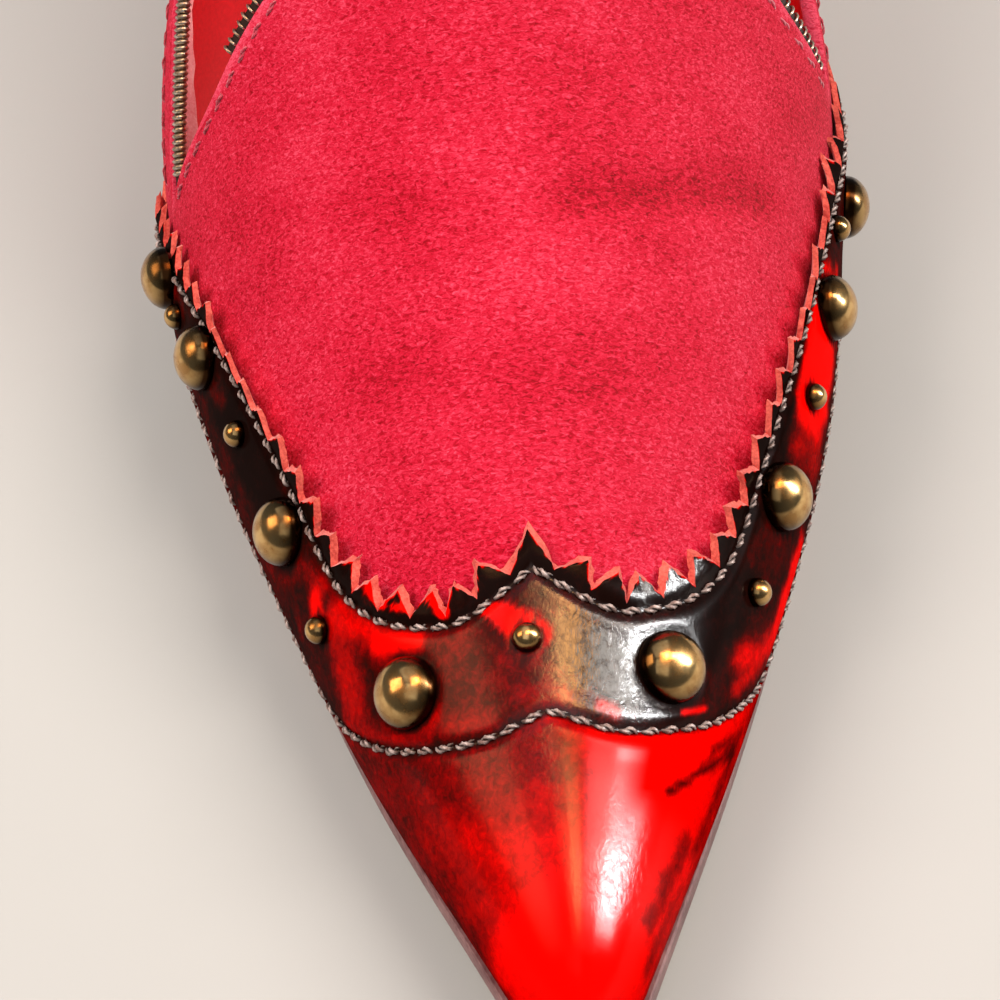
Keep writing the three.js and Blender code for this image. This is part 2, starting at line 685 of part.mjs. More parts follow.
// A stud stands square on the wing tip, a gap above its face.
function addStud(name, size, at, across) {
  const shape = size === 'large' ? STUD_LARGE : STUD_SMALL;
  const mesh = addPiece(name, studGeometry(shape), brass);
  const on = slanted(at, across);
  const { normal } = lastFrame(on, across);
  mesh.position.copy(lastPoint(on, across)).addScaledVector(normal, GAP);
  mesh.quaternion.setFromUnitVectors(new THREE.Vector3(0, 1, 0), normal);
}

addPiece('upper', upperGeometry(), suede);
addPiece('wing_tip', wingGeometry(), burnished);
addPiece('insole', insoleGeometry(), sock);
addPiece('outsole', outsoleGeometry(), soleLeather);
addPiece('heel', heelGeometry(), heelCover);
addPiece('top_piece', topPieceGeometry(), rubber);
addPiece('zip_tongue', zipTongueGeometry(), zipMetal);
addPiece('zip_topline', zipToplineGeometry(), zipMetal);
addStud('stud_small_centre', 'small', CENTRE_STUD.at, CENTRE_STUD.across);
STUDS.forEach(({ size, at, lateral, medial }, order) => {
  const number = 1 + Math.floor(order / 2);
  addStud(`stud_${size}_outer_${number}`, size, at, -lateral);
  addStud(`stud_${size}_inner_${number}`, size, at, medial);
});

// The origin is on the floor under the middle of the shoe's box.
const box = new THREE.Box3().setFromObject(pump);
const middle = box.getCenter(new THREE.Vector3());
pump.position.set(-middle.x, -middle.y, -box.min.z);

export default pump;
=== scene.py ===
"""Looks of a right pump: suede upper, pinked and studded wing tip, zip trim, sole and heel.

Shapes are worked out on the last in millimetres and placed in the frame in metres. On the last, "at"
is the distance back from the toe tip and "across" runs over a section from -1 at the outer
featherline, through 0 on the ridge, to +1 at the inner featherline.
"""
import json
import logging
import math
from dataclasses import dataclass, field
from enum import Enum
from functools import partial
from typing import Any, Callable, Sequence

import bmesh
import bpy
import numpy as np
from bpy.types import Material, Mesh, Node, NodeSocket, NodeTree, Object
from mathutils import Matrix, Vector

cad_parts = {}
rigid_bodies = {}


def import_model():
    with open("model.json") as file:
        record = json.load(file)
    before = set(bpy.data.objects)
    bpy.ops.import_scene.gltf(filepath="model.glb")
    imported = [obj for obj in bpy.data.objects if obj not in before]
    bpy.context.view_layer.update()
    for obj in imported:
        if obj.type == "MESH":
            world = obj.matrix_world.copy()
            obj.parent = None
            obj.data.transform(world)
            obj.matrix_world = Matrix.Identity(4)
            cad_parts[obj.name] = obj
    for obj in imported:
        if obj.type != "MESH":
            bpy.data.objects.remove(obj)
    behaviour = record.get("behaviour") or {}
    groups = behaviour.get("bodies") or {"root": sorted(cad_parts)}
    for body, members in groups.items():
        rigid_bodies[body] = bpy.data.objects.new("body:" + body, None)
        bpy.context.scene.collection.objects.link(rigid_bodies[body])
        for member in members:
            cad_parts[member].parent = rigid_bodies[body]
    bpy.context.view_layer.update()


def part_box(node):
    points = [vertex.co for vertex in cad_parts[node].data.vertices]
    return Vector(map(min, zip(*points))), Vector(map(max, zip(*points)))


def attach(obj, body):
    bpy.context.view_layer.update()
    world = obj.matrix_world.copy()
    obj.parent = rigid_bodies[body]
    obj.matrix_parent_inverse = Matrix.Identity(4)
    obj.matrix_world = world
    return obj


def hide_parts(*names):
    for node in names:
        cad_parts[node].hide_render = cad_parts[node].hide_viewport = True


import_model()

Array = np.ndarray
Pair = tuple[float, float]
Triple = tuple[float, float, float]
Places = tuple[Array, Array]  # at and across on the last
Feeds = dict[str | int, Any]
Adder = Callable[..., Node]
LOG = logging.getLogger("pump")
BODY = "root"
METRE = 1000.0  # millimetres
TINY = 1e-9  # keeps divisions finite

# Driving dimensions of the last
LENGTH = 246.0
TOE_ROUND = 7.0  # reach of the rounding at the toe tip
SEAT_ROUND = 27.0  # reach of the rounding at the back seam
LOW_HANDLE = 0.45  # height of a section's lower handle, as a share of its rise
BULGE_HANDLE = 3.5  # how much of a section's swell that handle takes
BROW = 0.62  # place of the upper handle, as a share of the half width
LEAN_REACH = 45.0  # the back leans out and then in over this reach
LEAN_OUT = 0.3
LEAN_IN = 0.0075
TIP_DRAW = 1.33  # how far the layers below the surface draw back at the toe tip
TIP_REACH = 40.0
TIP_BLUNT = 0.72
SEAT_AT = LENGTH - SEAT_ROUND  # where the back starts to round
BREAST_AT = 197.0  # front of the heel

# Leather, wall and collar
GAP = 0.3
WING_THICKNESS = 1.2
UPPER_DEPTH = 1.65  # the suede's face below the wing tip's face
WALL = 1.8
NOTCH_AT = 111.8
NOTCH_ACROSS = 0.7
SLANT_BACK = 150.0  # where the pattern's slant starts to fade
SLANT_END = 240.0

# Sections of the last
LAST_COLUMNS = ("at", "feather", "rise", "middle", "crest", "lateral", "medial", "swell")
LAST_ROWS = (
    (0, 8.6, 9, 8.2, 0, 3.2, 3.2, 0.6),
    (12, 7, 14, 7.4, 0, 8.9, 8.1, 1),
    (30, 5, 20.5, 5.6, 0, 17.1, 16.1, 1.6),
    (55, 3.6, 30, 3, 0.6, 26.2, 26.4, 2.4),
    (80, 3.5, 40, 1.6, 1.6, 34.9, 33.4, 3.4),
    (103, 3.5, 52.5, 0, 2, 39, 36.6, 4.5),
    (125, 8.5, 67, 0, 1.5, 38.6, 35, 6),
    (150, 26, 80, 0, 0.5, 30.5, 26, 5.4),
    (178, 50.5, 84, 0, 0, 25, 22.5, 4),
    (206, 69.5, 80, 0, 0, 25, 24.5, 3),
    (LENGTH, 83.5, 74, 0, 0, 26.5, 26.5, 2.6),
)

# Upper stitch row of the wing tip, from its peak on the ridge to the end of a wing: at, across
UPPER_SEAM = (
    (45.2, 0), (42.9, 0.085), (41.2, 0.19), (41.6, 0.285), (43.4, 0.38), (46.5, 0.46), (51, 0.512),
    (58, 0.534), (70, 0.56), (84, 0.61), (96, 0.67), (106, 0.735), (116, 0.803), (127, 0.885),
    (137, 0.965),
)
# Lower stitch row: at, across
LOWER_SEAM = (
    (30.3, 0), (29.05, 0.135), (28.7, 0.22), (29.1, 0.32), (30.3, 0.43), (32.2, 0.55), (34.8, 0.65),
    (38.3, 0.745), (41.5, 0.81), (45.5, 0.845), (51, 0.85), (58, 0.84), (66, 0.825), (75, 0.803),
    (83, 0.797), (92, 0.815), (102, 0.86), (114, 0.91), (126, 0.95), (137.4, 0.985),
)
# How much further back the pattern lies at the inner featherline than on the ridge: at, slant
SLANT = ((0, 0), (30, 1.7), (60, 1.8), (90, 3.3), (NOTCH_AT, 7.1), (SLANT_BACK, 7.1))
# Edge of the tongue: across, reach behind the notch
TONGUE = (
    (0, 8.2), (0.2, 7.1), (0.38, 4.3), (0.45, 2.6), (0.5, 1.2), (0.55, 0.4), (0.61, 0.1), (NOTCH_ACROSS, 0),
)
# Topline of the quarters from the notch to the back seam: at, across
TOPLINE = (
    (NOTCH_AT, NOTCH_ACROSS), (116, 0.672), (121, 0.642), (128, 0.618), (140, 0.618), (155, 0.64),
    (180, 0.665), (206, 0.635), (230, 0.55), (LENGTH, 0.47),
)
# Edge of the sole: at, how far it stands out past the featherline, thickness
SOLE = (
    (0, 1, 3.2), (60, 0.8, 3.2), (105, 0.6, 3.2), (130, -1.2, 2.9), (160, -2.6, 2.6),
    (BREAST_AT, -2.2, 2.4),
)
# Sections of the heel from its seat to the top piece: front, its height, back, its height, half width
HEEL = (
    (BREAST_AT, 63.2, 244.2, 82.6, 23.3),
    (204.5, 54, 244.6, 74, 19.6),
    (211, 44, 243.6, 63, 15),
    (216.5, 34, 241.6, 50, 11),
    (220.8, 24, 239.2, 35.5, 8),
    (223.6, 14, 237.2, 20, 6),
    (225, 6.3, 236, 6.3, 5),
)


class StudSize(Enum):
    """Stock sizes of the dome studs."""

    LARGE = "large"
    SMALL = "small"


# Studs on each wing from the toe to the back: size, at, across outwards, across inwards
STUDS = (
    (StudSize.LARGE, 36.5, 0.415, 0.383),
    (StudSize.SMALL, 48.9, 0.64, 0.623),
    (StudSize.LARGE, 60.6, 0.62, 0.625),
    (StudSize.SMALL, 74.1, 0.64, 0.657),
    (StudSize.LARGE, 86.7, 0.675, 0.69),
    (StudSize.SMALL, 97, 0.735, 0.705),
    (StudSize.LARGE, 104.5, 0.75, 0.81),
)
CENTRE_STUD = (38.0, -0.032)


def linear(colour: str) -> tuple[float, float, float, float]:
    """Linear colour of an sRGB hex value.

    Args:
        colour: six hex digits after a hash sign.

    Returns:
        Red, green, blue and alpha.
    """
    parts = [int(colour[i:i + 2], 16) / 255 for i in (1, 3, 5)]
    red, green, blue = [p / 12.92 if p <= 0.04045 else ((p + 0.055) / 1.055) ** 2.4 for p in parts]
    return red, green, blue, 1.0


def per_metre(size: float) -> float:
    """Texture scale for features of a size in millimetres."""
    return METRE / size


def feed(tree: NodeTree, node: Node, links: Feeds) -> None:
    """Sets or links a node's inputs.

    Args:
        tree: the node tree.
        node: the node.
        links: for each input, a value, the output socket that feeds it or the node whose first output does.
    """
    for key, value in links.items():
        if isinstance(value, Node):
            value = next(output for output in value.outputs if output.enabled)
        if isinstance(value, NodeSocket):
            tree.links.new(value, node.inputs[key])
        else:
            node.inputs[key].default_value = value


def add_node(tree: NodeTree, kind: str, links: Feeds | None = None, **settings: Any) -> Node:
    """Adds a node with its settings, values and links.

    Args:
        tree: the node tree.
        kind: the node's type name.
        links: what feeds its inputs.
        settings: the node's own properties; stops gives a colour ramp's places and hex colours.

    Returns:
        The node.
    """
    node = tree.nodes.new(kind)
    stops = settings.pop("stops", ())
    for name, value in settings.items():
        setattr(node, name, value)
    for order, (place, colour) in enumerate(stops):
        ramp = node.color_ramp.elements
        stop = ramp[order] if order < len(ramp) else ramp.new(place)
        stop.position = place
        stop.color = linear(colour)
    feed(tree, node, links or {})
    return node


class Spline:
    """Natural cubic spline through points."""

    def __init__(self, x: Sequence[float], y: Sequence[float]) -> None:
        """Solves for the bend at each point.

        Args:
            x: places of the points, in rising order.
            y: values at the points.
        """
        self.x, self.y = np.array(x, float), np.array(y, float)
        self.step = np.diff(self.x)
        slope = np.diff(self.y) / self.step
        count = len(self.x)
        matrix, turn = np.eye(count), np.zeros(count)
        for i in range(1, count - 1):
            matrix[i, i - 1:i + 2] = self.step[i - 1], 2 * (self.step[i - 1] + self.step[i]), self.step[i]
            turn[i] = 6 * (slope[i] - slope[i - 1])
        self.bend = np.linalg.solve(matrix, turn)

    def __call__(self, value: Array | float) -> Array:
        """Values of the spline.

        Args:
            value: one or more places.

        Returns:
            A value for each place.
        """
        i = np.clip(np.searchsorted(self.x, value, side="right") - 1, 0, len(self.x) - 2)
        after = (value - self.x[i]) / self.step[i]
        before = 1 - after
        curl = (before ** 3 - before) * self.bend[i] + (after ** 3 - after) * self.bend[i + 1]
        return before * self.y[i] + after * self.y[i + 1] + curl * self.step[i] ** 2 / 6


def smooth(value: Array, low: float, high: float) -> Array:
    """Smooth step from 0 at low to 1 at high."""
    share = np.clip((value - low) / (high - low), 0, 1)
    return share * share * (3 - 2 * share)


def lerp(first: Array, second: Array, share: Array | float) -> Array:
    """Value between two values."""
    return first + (second - first) * share


def unit(vectors: Array) -> Array:
    """Vectors brought to length 1."""
    return vectors / np.maximum(np.linalg.norm(vectors, axis=-1, keepdims=True), TINY)


def distance_along(points: Array) -> Array:
    """Distance of each point of a line from its first one, along the line."""
    return np.concatenate([[0], np.cumsum(np.linalg.norm(np.diff(points, axis=0), axis=1))])


def from_ends(points: Array) -> Array:
    """Distance of each point of a line from the nearer end, along the line."""
    run = distance_along(points)
    return np.minimum(run, run[-1] - run)


def full_turn(sides: int) -> Array:
    """Angles of the corners of a round section."""
    return np.linspace(0, 2 * math.pi, sides, endpoint=False)


def in_metres(points: Array) -> Array:
    """Millimetres as metres."""
    return np.asarray(points, float) / METRE


def round_end(distance: Array, reach: float) -> Array:
    """Quarter-circle rounding that grows from 0 at an end to 1 at the given distance."""
    short = np.clip(1 - distance / reach, 0, 1)
    return np.sqrt(1 - short * short)


def seat_turn(start: float, reach: float, steps: int) -> Array:
    """Rows that close up towards a rounded back end, from its start over its reach."""
    return start + reach * np.sin(np.linspace(0, math.pi / 2, steps + 1))


class Last:
    """Surface of the last in millimetres."""

    STEP = 0.05  # half the span of a direction along the shoe, in millimetres
    TURN = 0.004  # half the span of a direction over the section, in across

    def __init__(self) -> None:
        """Splines of the sections, the tongue, the topline and the sole."""
        table = np.array(LAST_ROWS, float)
        self.curve = {name: Spline(table[:, 0], table[:, i]) for i, name in enumerate(LAST_COLUMNS) if i}
        self.slant = Spline(*np.array(SLANT, float).T)
        self.tongue_reach = Spline(*np.array(TONGUE, float).T)
        self.topline = Spline(*np.array(TOPLINE, float).T)
        sole = np.array(SOLE, float)
        self.sole_edge = Spline(sole[:, 0], sole[:, 1])
        self.sole_thickness = Spline(sole[:, 0], sole[:, 2])

    def point(self, at: Array, across: Array) -> Array:
        """Points of the surface.

        Args:
            at: distance back from the toe tip.
            across: place over the section.

        Returns:
            One point for each place.
        """
        at, across = np.broadcast_arrays(np.asarray(at, float), np.asarray(across, float))
        row = {name: curve(at) for name, curve in self.curve.items()}
        side = np.where(across < 0, -1.0, 1.0)
        toe = round_end(at, TOE_ROUND)
        ends = toe * round_end(LENGTH - at, SEAT_ROUND)
        half = side * np.where(across < 0, row["lateral"], row["medial"]) * ends
        bulge = side * BULGE_HANDLE * row["swell"] * ends
        rise, crest = row["rise"] * toe, row["crest"] * ends
        t = 1 - np.abs(across)
        s = 1 - t
        b0, b1, b2, b3 = s ** 3, 3 * s * s * t, 3 * s * t * t, t ** 3
        x = b0 * half + b1 * (half + bulge) + b2 * (BROW * half + crest) + b3 * crest
        z = b1 * LOW_HANDLE * rise + (b2 + b3) * rise
        heel = np.clip((at - LENGTH + LEAN_REACH) / LEAN_REACH, 0, 1) ** 2
        lean = heel * (LEAN_OUT * z - LEAN_IN * z * z)
        return np.stack([row["middle"] + x, at + lean, row["feather"] + z], axis=-1)

    def directions(self, at: Array, across: Array) -> tuple[Array, Array, Array]:
        """Directions of the surface.

        Args:
            at: distance back from the toe tip.
            across: place over the section.

        Returns:
            Its directions along the shoe and over the section, and its outward normal.
        """
        at, across = np.broadcast_arrays(np.asarray(at, float), np.asarray(across, float))
        ahead = np.minimum(at + self.STEP, LENGTH)
        behind = ahead - 2 * self.STEP
        along = (self.point(ahead, across) - self.point(behind, across)) / (2 * self.STEP)
        over = (self.point(at, across + self.TURN) - self.point(at, across - self.TURN)) / (2 * self.TURN)
        normal = np.cross(over, along)
        normal[..., 0] = np.where(at >= LENGTH, 0, normal[..., 0])
        return along, over, unit(normal)

    def layer(self, at: Array, across: Array, depth: Array | float, lift: Array | float = 0.0) -> Array:
        """Points of a layer below the surface, as the solids of the shoe have them.

        Args:
            at: distance back from the toe tip.
            across: place over the section.
            depth: how far the layer lies below the surface.
            lift: relief that stands out from the layer.

        Returns:
            One point for each place.
        """
        at, across, depth = np.broadcast_arrays(*(np.asarray(v, float) for v in (at, across, depth)))
        drawn = TIP_DRAW * depth * np.clip(1 - at / TIP_REACH, 0, 1) ** 2
        start = at + np.maximum(drawn, 0)
        normal = self.directions(start, across)[2]
        flat = normal * np.array([1, 1, 0])
        flat = flat / np.maximum((flat ** 2).sum(-1, keepdims=True), TINY)
        inward = -np.where(np.abs(across)[..., None] >= 1, flat, normal)
        point = self.point(start, across) + inward * (depth - lift)[..., None]
        tip = np.stack([self.curve["middle"](start), start + TIP_BLUNT * depth,
                        self.curve["feather"](start)], axis=-1)
        tip = np.where(depth[..., None] > 0, tip, self.point(start, across))
        return np.where((at <= 0)[..., None], tip, point)

    def slanted(self, at: Array, across: Array) -> Array:
        """Rows of the pattern slant, so that the inner side lies further back."""
        amount = self.slant(np.minimum(at, SLANT_BACK)) * (1 - smooth(at, SLANT_BACK, SLANT_END))
        return at + amount * across

    def wall(self, at: Array, across: Array, depth: float, lift: Array | float = 0.0) -> Array:
        """Points of the upper's wall on slanted rows."""
        return self.layer(self.slanted(at, across), across, depth, lift)

    def feather_half(self, at: Array, side: float, inset: float) -> Array:
        """Place of the featherline on one side, drawn in by an inset."""
        half = np.maximum(self.curve["lateral" if side < 0 else "medial"](at) - inset, 0)
        return self.curve["middle"](at) + side * half * round_end(LENGTH - inset - at, SEAT_ROUND - inset)


class Seam:
    """A stitch row over the wing tip, by its length from the ridge to the end of a wing."""

    STEPS = 1200

    def __init__(self, last: Last, table: Sequence[Pair]) -> None:
        """Measures the row along the last.

        Args:
            last: the last.
            table: at and across of the row's points, from the ridge to the end of a wing.
        """
        rows = np.array(table, float)
        order = np.arange(len(rows))
        steps = np.linspace(0, len(rows) - 1, self.STEPS)
        self.at = Spline(order, rows[:, 0])(steps)
        self.across = np.maximum(Spline(order, rows[:, 1])(steps), 0)
        self.run = distance_along(last.point(self.at, self.across))
        self.length = self.run[-1]

    def spot(self, share: Array) -> Places:
        """Place at shares of the length; a negative share lies on the outer side."""
        run = np.abs(share) * self.length
        return np.interp(run, self.run, self.at), np.sign(share) * np.interp(run, self.run, self.across)


class Placement:
    """Puts millimetres on the last into metres of the frame."""

    def __init__(self) -> None:
        """Reads the shift from the toe of the wing tip and the middle of the top piece."""
        low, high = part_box("top_piece")
        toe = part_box("wing_tip")[0].y
        self.shift = np.array([(low.x + high.x) / 2, toe, 0.0])

    def __call__(self, points: Array) -> Array:
        """Points in the frame."""
        return in_metres(points) + self.shift


class Patchwork:
    """Collects grids and rings of points and joins them into one closed mesh."""

    WELD = 2e-6  # metres
    ROUND = 120.0  # degrees, for units with no sharp edge
    EDGES = (np.s_[0], np.s_[-1], np.s_[:, 0], np.s_[:, -1])  # of a grid of points

    def __init__(self, placement: Callable[[Array], Array], sharp_degrees: float = 38.0) -> None:
        """Starts empty.

        Args:
            placement: brings the points to metres.
            sharp_degrees: edges that turn by more than this stay sharp.
        """
        self.placement = placement
        self.sharp_degrees = sharp_degrees
        self.points: list[Array] = []
        self.faces: list[tuple[int, ...]] = []
        self.zones: list[int] = []
        self.tags: dict[str, list[Array]] = {}
        self.count = 0

    def _add(self, points: Array, tags: dict[str, Array]) -> int:
        """Adds points with their tags.

        Args:
            points: the points.
            tags: values of named attributes, one for each point.

        Returns:
            The first point's number.
        """
        flat = points.reshape(-1, 3)
        for name in set(self.tags) | set(tags):
            filled = self.tags.setdefault(name, [np.zeros(self.count)] if self.count else [])
            filled.append(np.asarray(tags.get(name, np.zeros(len(flat))), float).ravel())
        self.points.append(flat)
        self.count += len(flat)
        return self.count - len(flat)

    def grid(self, points: Array, zone: int, **tags: Array) -> None:
        """Adds a grid of four-sided faces.

        Args:
            points: rows by columns of points.
            zone: number of the material.
            tags: values of named attributes, one for each point.
        """
        rows, columns = points.shape[:2]
        first = self._add(points, tags)
        number = first + np.arange(rows * columns).reshape(rows, columns)
        corners = [number[:-1, :-1], number[:-1, 1:], number[1:, 1:], number[1:, :-1]]
        made = np.stack([c.ravel() for c in corners], axis=1)
        self.faces += [tuple(face) for face in made.tolist()]
        self.zones += [zone] * len(made)

    def sheet(self, outer: Array, inner: Array, zone: int) -> None:
        """Adds a sheet with two faces and a rim.

        Args:
            outer: rows by columns of points of one face.
            inner: those of the other face.
            zone: number of the material.
        """
        self.grid(outer, zone)
        self.grid(inner, zone)
        for edge in Patchwork.EDGES:
            self.grid(np.stack([outer[edge], inner[edge]]), zone)

    def rings(self, rings: Array, zones: Callable[[int], int] | int = 0, **tags: Array) -> None:
        """Adds a solid through closed rings.

        Args:
            rings: rows by ring points.
            zones: number of the material, or its number for each ring point.
            tags: values of named attributes, one for each point.
        """
        rows, size = rings.shape[:2]
        first = self._add(rings, tags)
        pick = zones if callable(zones) else lambda _: zones
        for r in range(rows - 1):
            for i in range(size):
                here, after = first + r * size, (i + 1) % size
                self.faces.append((here + i, here + after, here + size + after, here + size + i))
                self.zones.append(pick(i))
        for row in (0, rows - 1):
            start = first + row * size
            for i in range((size - 1) // 2):
                facing = size - 1 - i
                self.faces.append((start + i, start + i + 1, start + facing - 1, start + facing))
                self.zones.append(pick(0))

    def mesh(self, name: str, finishes: Sequence["Finish"] = ()) -> Mesh:
        """Joins what was collected: welded, facing outwards and smooth between creases.

        Args:
            name: name of the mesh.
            finishes: one finish for each zone.

        Returns:
            The mesh in metres.
        """
        mesh = bpy.data.meshes.new(name)
        mesh.from_pydata(self.placement(np.concatenate(self.points)).tolist(), [], self.faces)
        mesh.polygons.foreach_set("material_index", self.zones)
        for tag, values in self.tags.items():
            mesh.attributes.new(tag, "FLOAT", "POINT").data.foreach_set("value", np.concatenate(values))
        work = bmesh.new()
        work.from_mesh(mesh)
        bmesh.ops.remove_doubles(work, verts=work.verts, dist=self.WELD)
        bmesh.ops.dissolve_degenerate(work, edges=work.edges, dist=self.WELD)
        bmesh.ops.recalc_face_normals(work, faces=work.faces)
        work.to_mesh(mesh)
        work.free()
        mesh.polygons.foreach_set("use_smooth", [True] * len(mesh.polygons))
        mesh.set_sharp_from_angle(angle=math.radians(self.sharp_degrees))
        for finish in finishes:
            mesh.materials.append(finish.material())
        return mesh


def show(mesh: Mesh, nodes: Sequence[str] = ()) -> Object:
    """Makes a piece of a mesh and ties it to the frame.

    Args:
        mesh: the finished mesh, in the frame.
        nodes: nodes of the frame that the piece stands for.

    Returns:
        The piece.
    """
    piece = bpy.data.objects.new(mesh.name, mesh)
    bpy.context.scene.collection.objects.link(piece)
    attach(piece, BODY)
    if nodes:
        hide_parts(*nodes)
    return piece


@dataclass(frozen=True)
class Finish:
    """A surface finish: the shader's constant values, and the patterns that a finish paints."""

    name: str
    roughness: float
    metallic: float = 0.0
    specular: float = 0.5
    coat_roughness: float = 0.03
    sheen: float = 0.0
    sheen_roughness: float = 0.5
    sheen_tint: str = "#ffffff"

    def material(self) -> Material:
        """The finish as a material, made once.

        Returns:
            The material.
        """
        made = bpy.data.materials.get(self.name)
        if made is None:
            made = bpy.data.materials.new(self.name)
            made.use_nodes = True
            shader = made.node_tree.nodes["Principled BSDF"]
            values = {
                "Roughness": self.roughness, "Metallic": self.metallic, "Specular IOR Level": self.specular,
                "Coat Roughness": self.coat_roughness, "Sheen Weight": self.sheen,
                "Sheen Roughness": self.sheen_roughness, "Sheen Tint": linear(self.sheen_tint)}
            feed(made.node_tree, shader, values | self.paint(partial(add_node, made.node_tree)))
        return made

    def paint(self, add: Adder) -> Feeds:
        """What the finish's patterns feed to the shader's inputs."""
        raise NotImplementedError


@dataclass(frozen=True)
class Suede(Finish):
    """Crimson kid suede: a short matt nap, brushed in patches, that lights up at glancing angles."""

    patch_mm: float = 14.0
    patch_share: float = 0.22
    fleck_mm: float = 0.4  # the real fibres are finer, and are drawn this coarse to show
    relief_mm: float = 0.3
    bump: float = 0.6
    nap: Triple = (0.6, 1.1, 1.1)

    def paint(self, add: Adder) -> Feeds:
        """Flecks of the nap laid across the foot, in faint patches, darker in the creases, also as bump.

        Args:
            add: adds a node to the material.

        Returns:
            What feeds the shader's inputs.
        """
        place = add("ShaderNodeTexCoord").outputs["Object"]
        patches = add("ShaderNodeTexNoise", {
            "Vector": place, "Scale": per_metre(self.patch_mm), "Detail": 3.0, "Roughness": 0.5})
        laid = add("ShaderNodeMapping", {"Vector": place, "Scale": self.nap})
        flecks = add("ShaderNodeTexNoise", {
            "Vector": laid, "Scale": per_metre(self.fleck_mm), "Detail": 3.0,
            "Roughness": 0.62, "Distortion": 0.9})
        both = add("ShaderNodeMix", {
            "Factor": self.patch_share, "A": flecks, "B": patches}, data_type="FLOAT")
        worn = add("ShaderNodeAttribute", attribute_name="crease").outputs["Fac"]
        tone = add("ShaderNodeMath", {0: both, 1: worn}, operation="SUBTRACT")
        colour = add("ShaderNodeValToRGB", {"Fac": tone}, stops=(
            (0.27, "#74000a"), (0.38, "#a2021a"), (0.46, "#c3102d"), (0.54, "#d1203d"), (0.72, "#ee526b")))
        bump = add("ShaderNodeBump", {
            "Height": flecks, "Strength": self.bump, "Distance": self.relief_mm / METRE})
        return {"Base Color": colour, "Normal": bump}


@dataclass(frozen=True)
class BurnishedLeather(Finish):
    """Glazed calf, dyed red and burnished by hand to brown and black: a clear gloss over fine wrinkles.

    The burnish attribute gives the tone of the strokes and the polish attribute the weight of the gloss.
    The mottle says how much the brush marks break the tone up, and wrinkles show most where it is rubbed.
    """

    mottle: float = 0.19
    cloud_mm: float = 4.0
    brush_mm: float = 0.8
    brush_share: float = 0.6
    brush_stretch: Triple = (1.0, 0.7, 1.0)
    wrinkle_mm: float = 0.75
    wrinkle_stretch: Triple = (1.0, 0.55, 1.0)
    relief_mm: float = 0.085
    dull_gloss: float = 0.1
    rubbed_gloss: float = 0.5
    rubbed_bump: float = 0.62

    def paint(self, add: Adder) -> Feeds:
        """Burnish from the charted strokes and brush marks, with fine wrinkles as bump.

        Args:
            add: adds a node to the material.

        Returns:
            What feeds the shader's inputs.
        """
        place = add("ShaderNodeTexCoord").outputs["Object"]
        clouds = add("ShaderNodeTexNoise", {
            "Vector": place, "Scale": per_metre(self.cloud_mm), "Detail": 4.0, "Roughness": 0.6})
        brushed = add("ShaderNodeMapping", {"Vector": place, "Scale": self.brush_stretch})
        marks = add("ShaderNodeTexNoise", {
            "Vector": brushed, "Scale": per_metre(self.brush_mm), "Detail": 6.0,
            "Roughness": 0.75, "Distortion": 0.6})
        both = add("ShaderNodeMix", {
            "Factor": self.brush_share, "A": clouds, "B": marks}, data_type="FLOAT")
        chart = add("ShaderNodeAttribute", attribute_name="burnish").outputs["Fac"]
        spread = add("ShaderNodeMapRange", {
            "Value": both, "From Min": 0.3, "From Max": 0.7, "To Min": -self.mottle, "To Max": self.mottle})
        tone = add("ShaderNodeMath", {0: chart, 1: spread}, operation="ADD")
        colour = add("ShaderNodeValToRGB", {"Fac": tone}, stops=(
            (0.0, "#fb0300"), (0.2, "#e40301"), (0.36, "#a80402"), (0.5, "#760303"), (0.62, "#480503"),
            (0.78, "#240906"), (0.95, "#140705")))
        lined = add("ShaderNodeMapping", {"Vector": place, "Scale": self.wrinkle_stretch})
        wrinkles = add("ShaderNodeTexNoise", {
            "Vector": lined, "Scale": per_metre(self.wrinkle_mm), "Detail": 4.0,
            "Roughness": 0.6, "Distortion": 1.0})
        polish = add("ShaderNodeAttribute", attribute_name="polish").outputs["Fac"]
        rubbed = add("ShaderNodeMapRange", {
            "Value": polish, "From Min": self.dull_gloss, "From Max": self.rubbed_gloss, "To Min": 0.0,
            "To Max": self.rubbed_bump})
        bump = add("ShaderNodeBump", {
            "Height": wrinkles, "Strength": rubbed, "Distance": self.relief_mm / METRE})
        return {"Base Color": colour, "Normal": bump, "Coat Normal": bump, "Coat Weight": polish}


@dataclass(frozen=True, kw_only=True)
class Grained(Finish):
    """A plain dyed material: two tones in soft patches, over a grain of its own size."""

    dark: str
    light: str
    patch_mm: float
    grain_mm: float
    grain_share: float = 0.5
    relief_mm: float
    bump: float = 0.6
    stretch: Triple = (1.0, 1.0, 1.0)

    def paint(self, add: Adder) -> Feeds:
        """Soft patches of two tones, and the grain as tone and bump.

        Args:
            add: adds a node to the material.

        Returns:
            What feeds the shader's inputs.
        """
        place = add("ShaderNodeTexCoord").outputs["Object"]
        laid = add("ShaderNodeMapping", {"Vector": place, "Scale": self.stretch})
        patches = add("ShaderNodeTexNoise", {
            "Vector": place, "Scale": per_metre(self.patch_mm), "Detail": 3.0})
        grain = add("ShaderNodeTexNoise", {
            "Vector": laid, "Scale": per_metre(self.grain_mm), "Detail": 3.0, "Roughness": 0.6})
        both = add("ShaderNodeMix", {
            "Factor": self.grain_share, "A": patches, "B": grain}, data_type="FLOAT")
        colour = add("ShaderNodeValToRGB", {"Fac": both}, stops=((0.34, self.dark), (0.64, self.light)))
        bump = add("ShaderNodeBump", {
            "Height": grain, "Strength": self.bump, "Distance": self.relief_mm / METRE})
        return {"Base Color": colour, "Normal": bump}


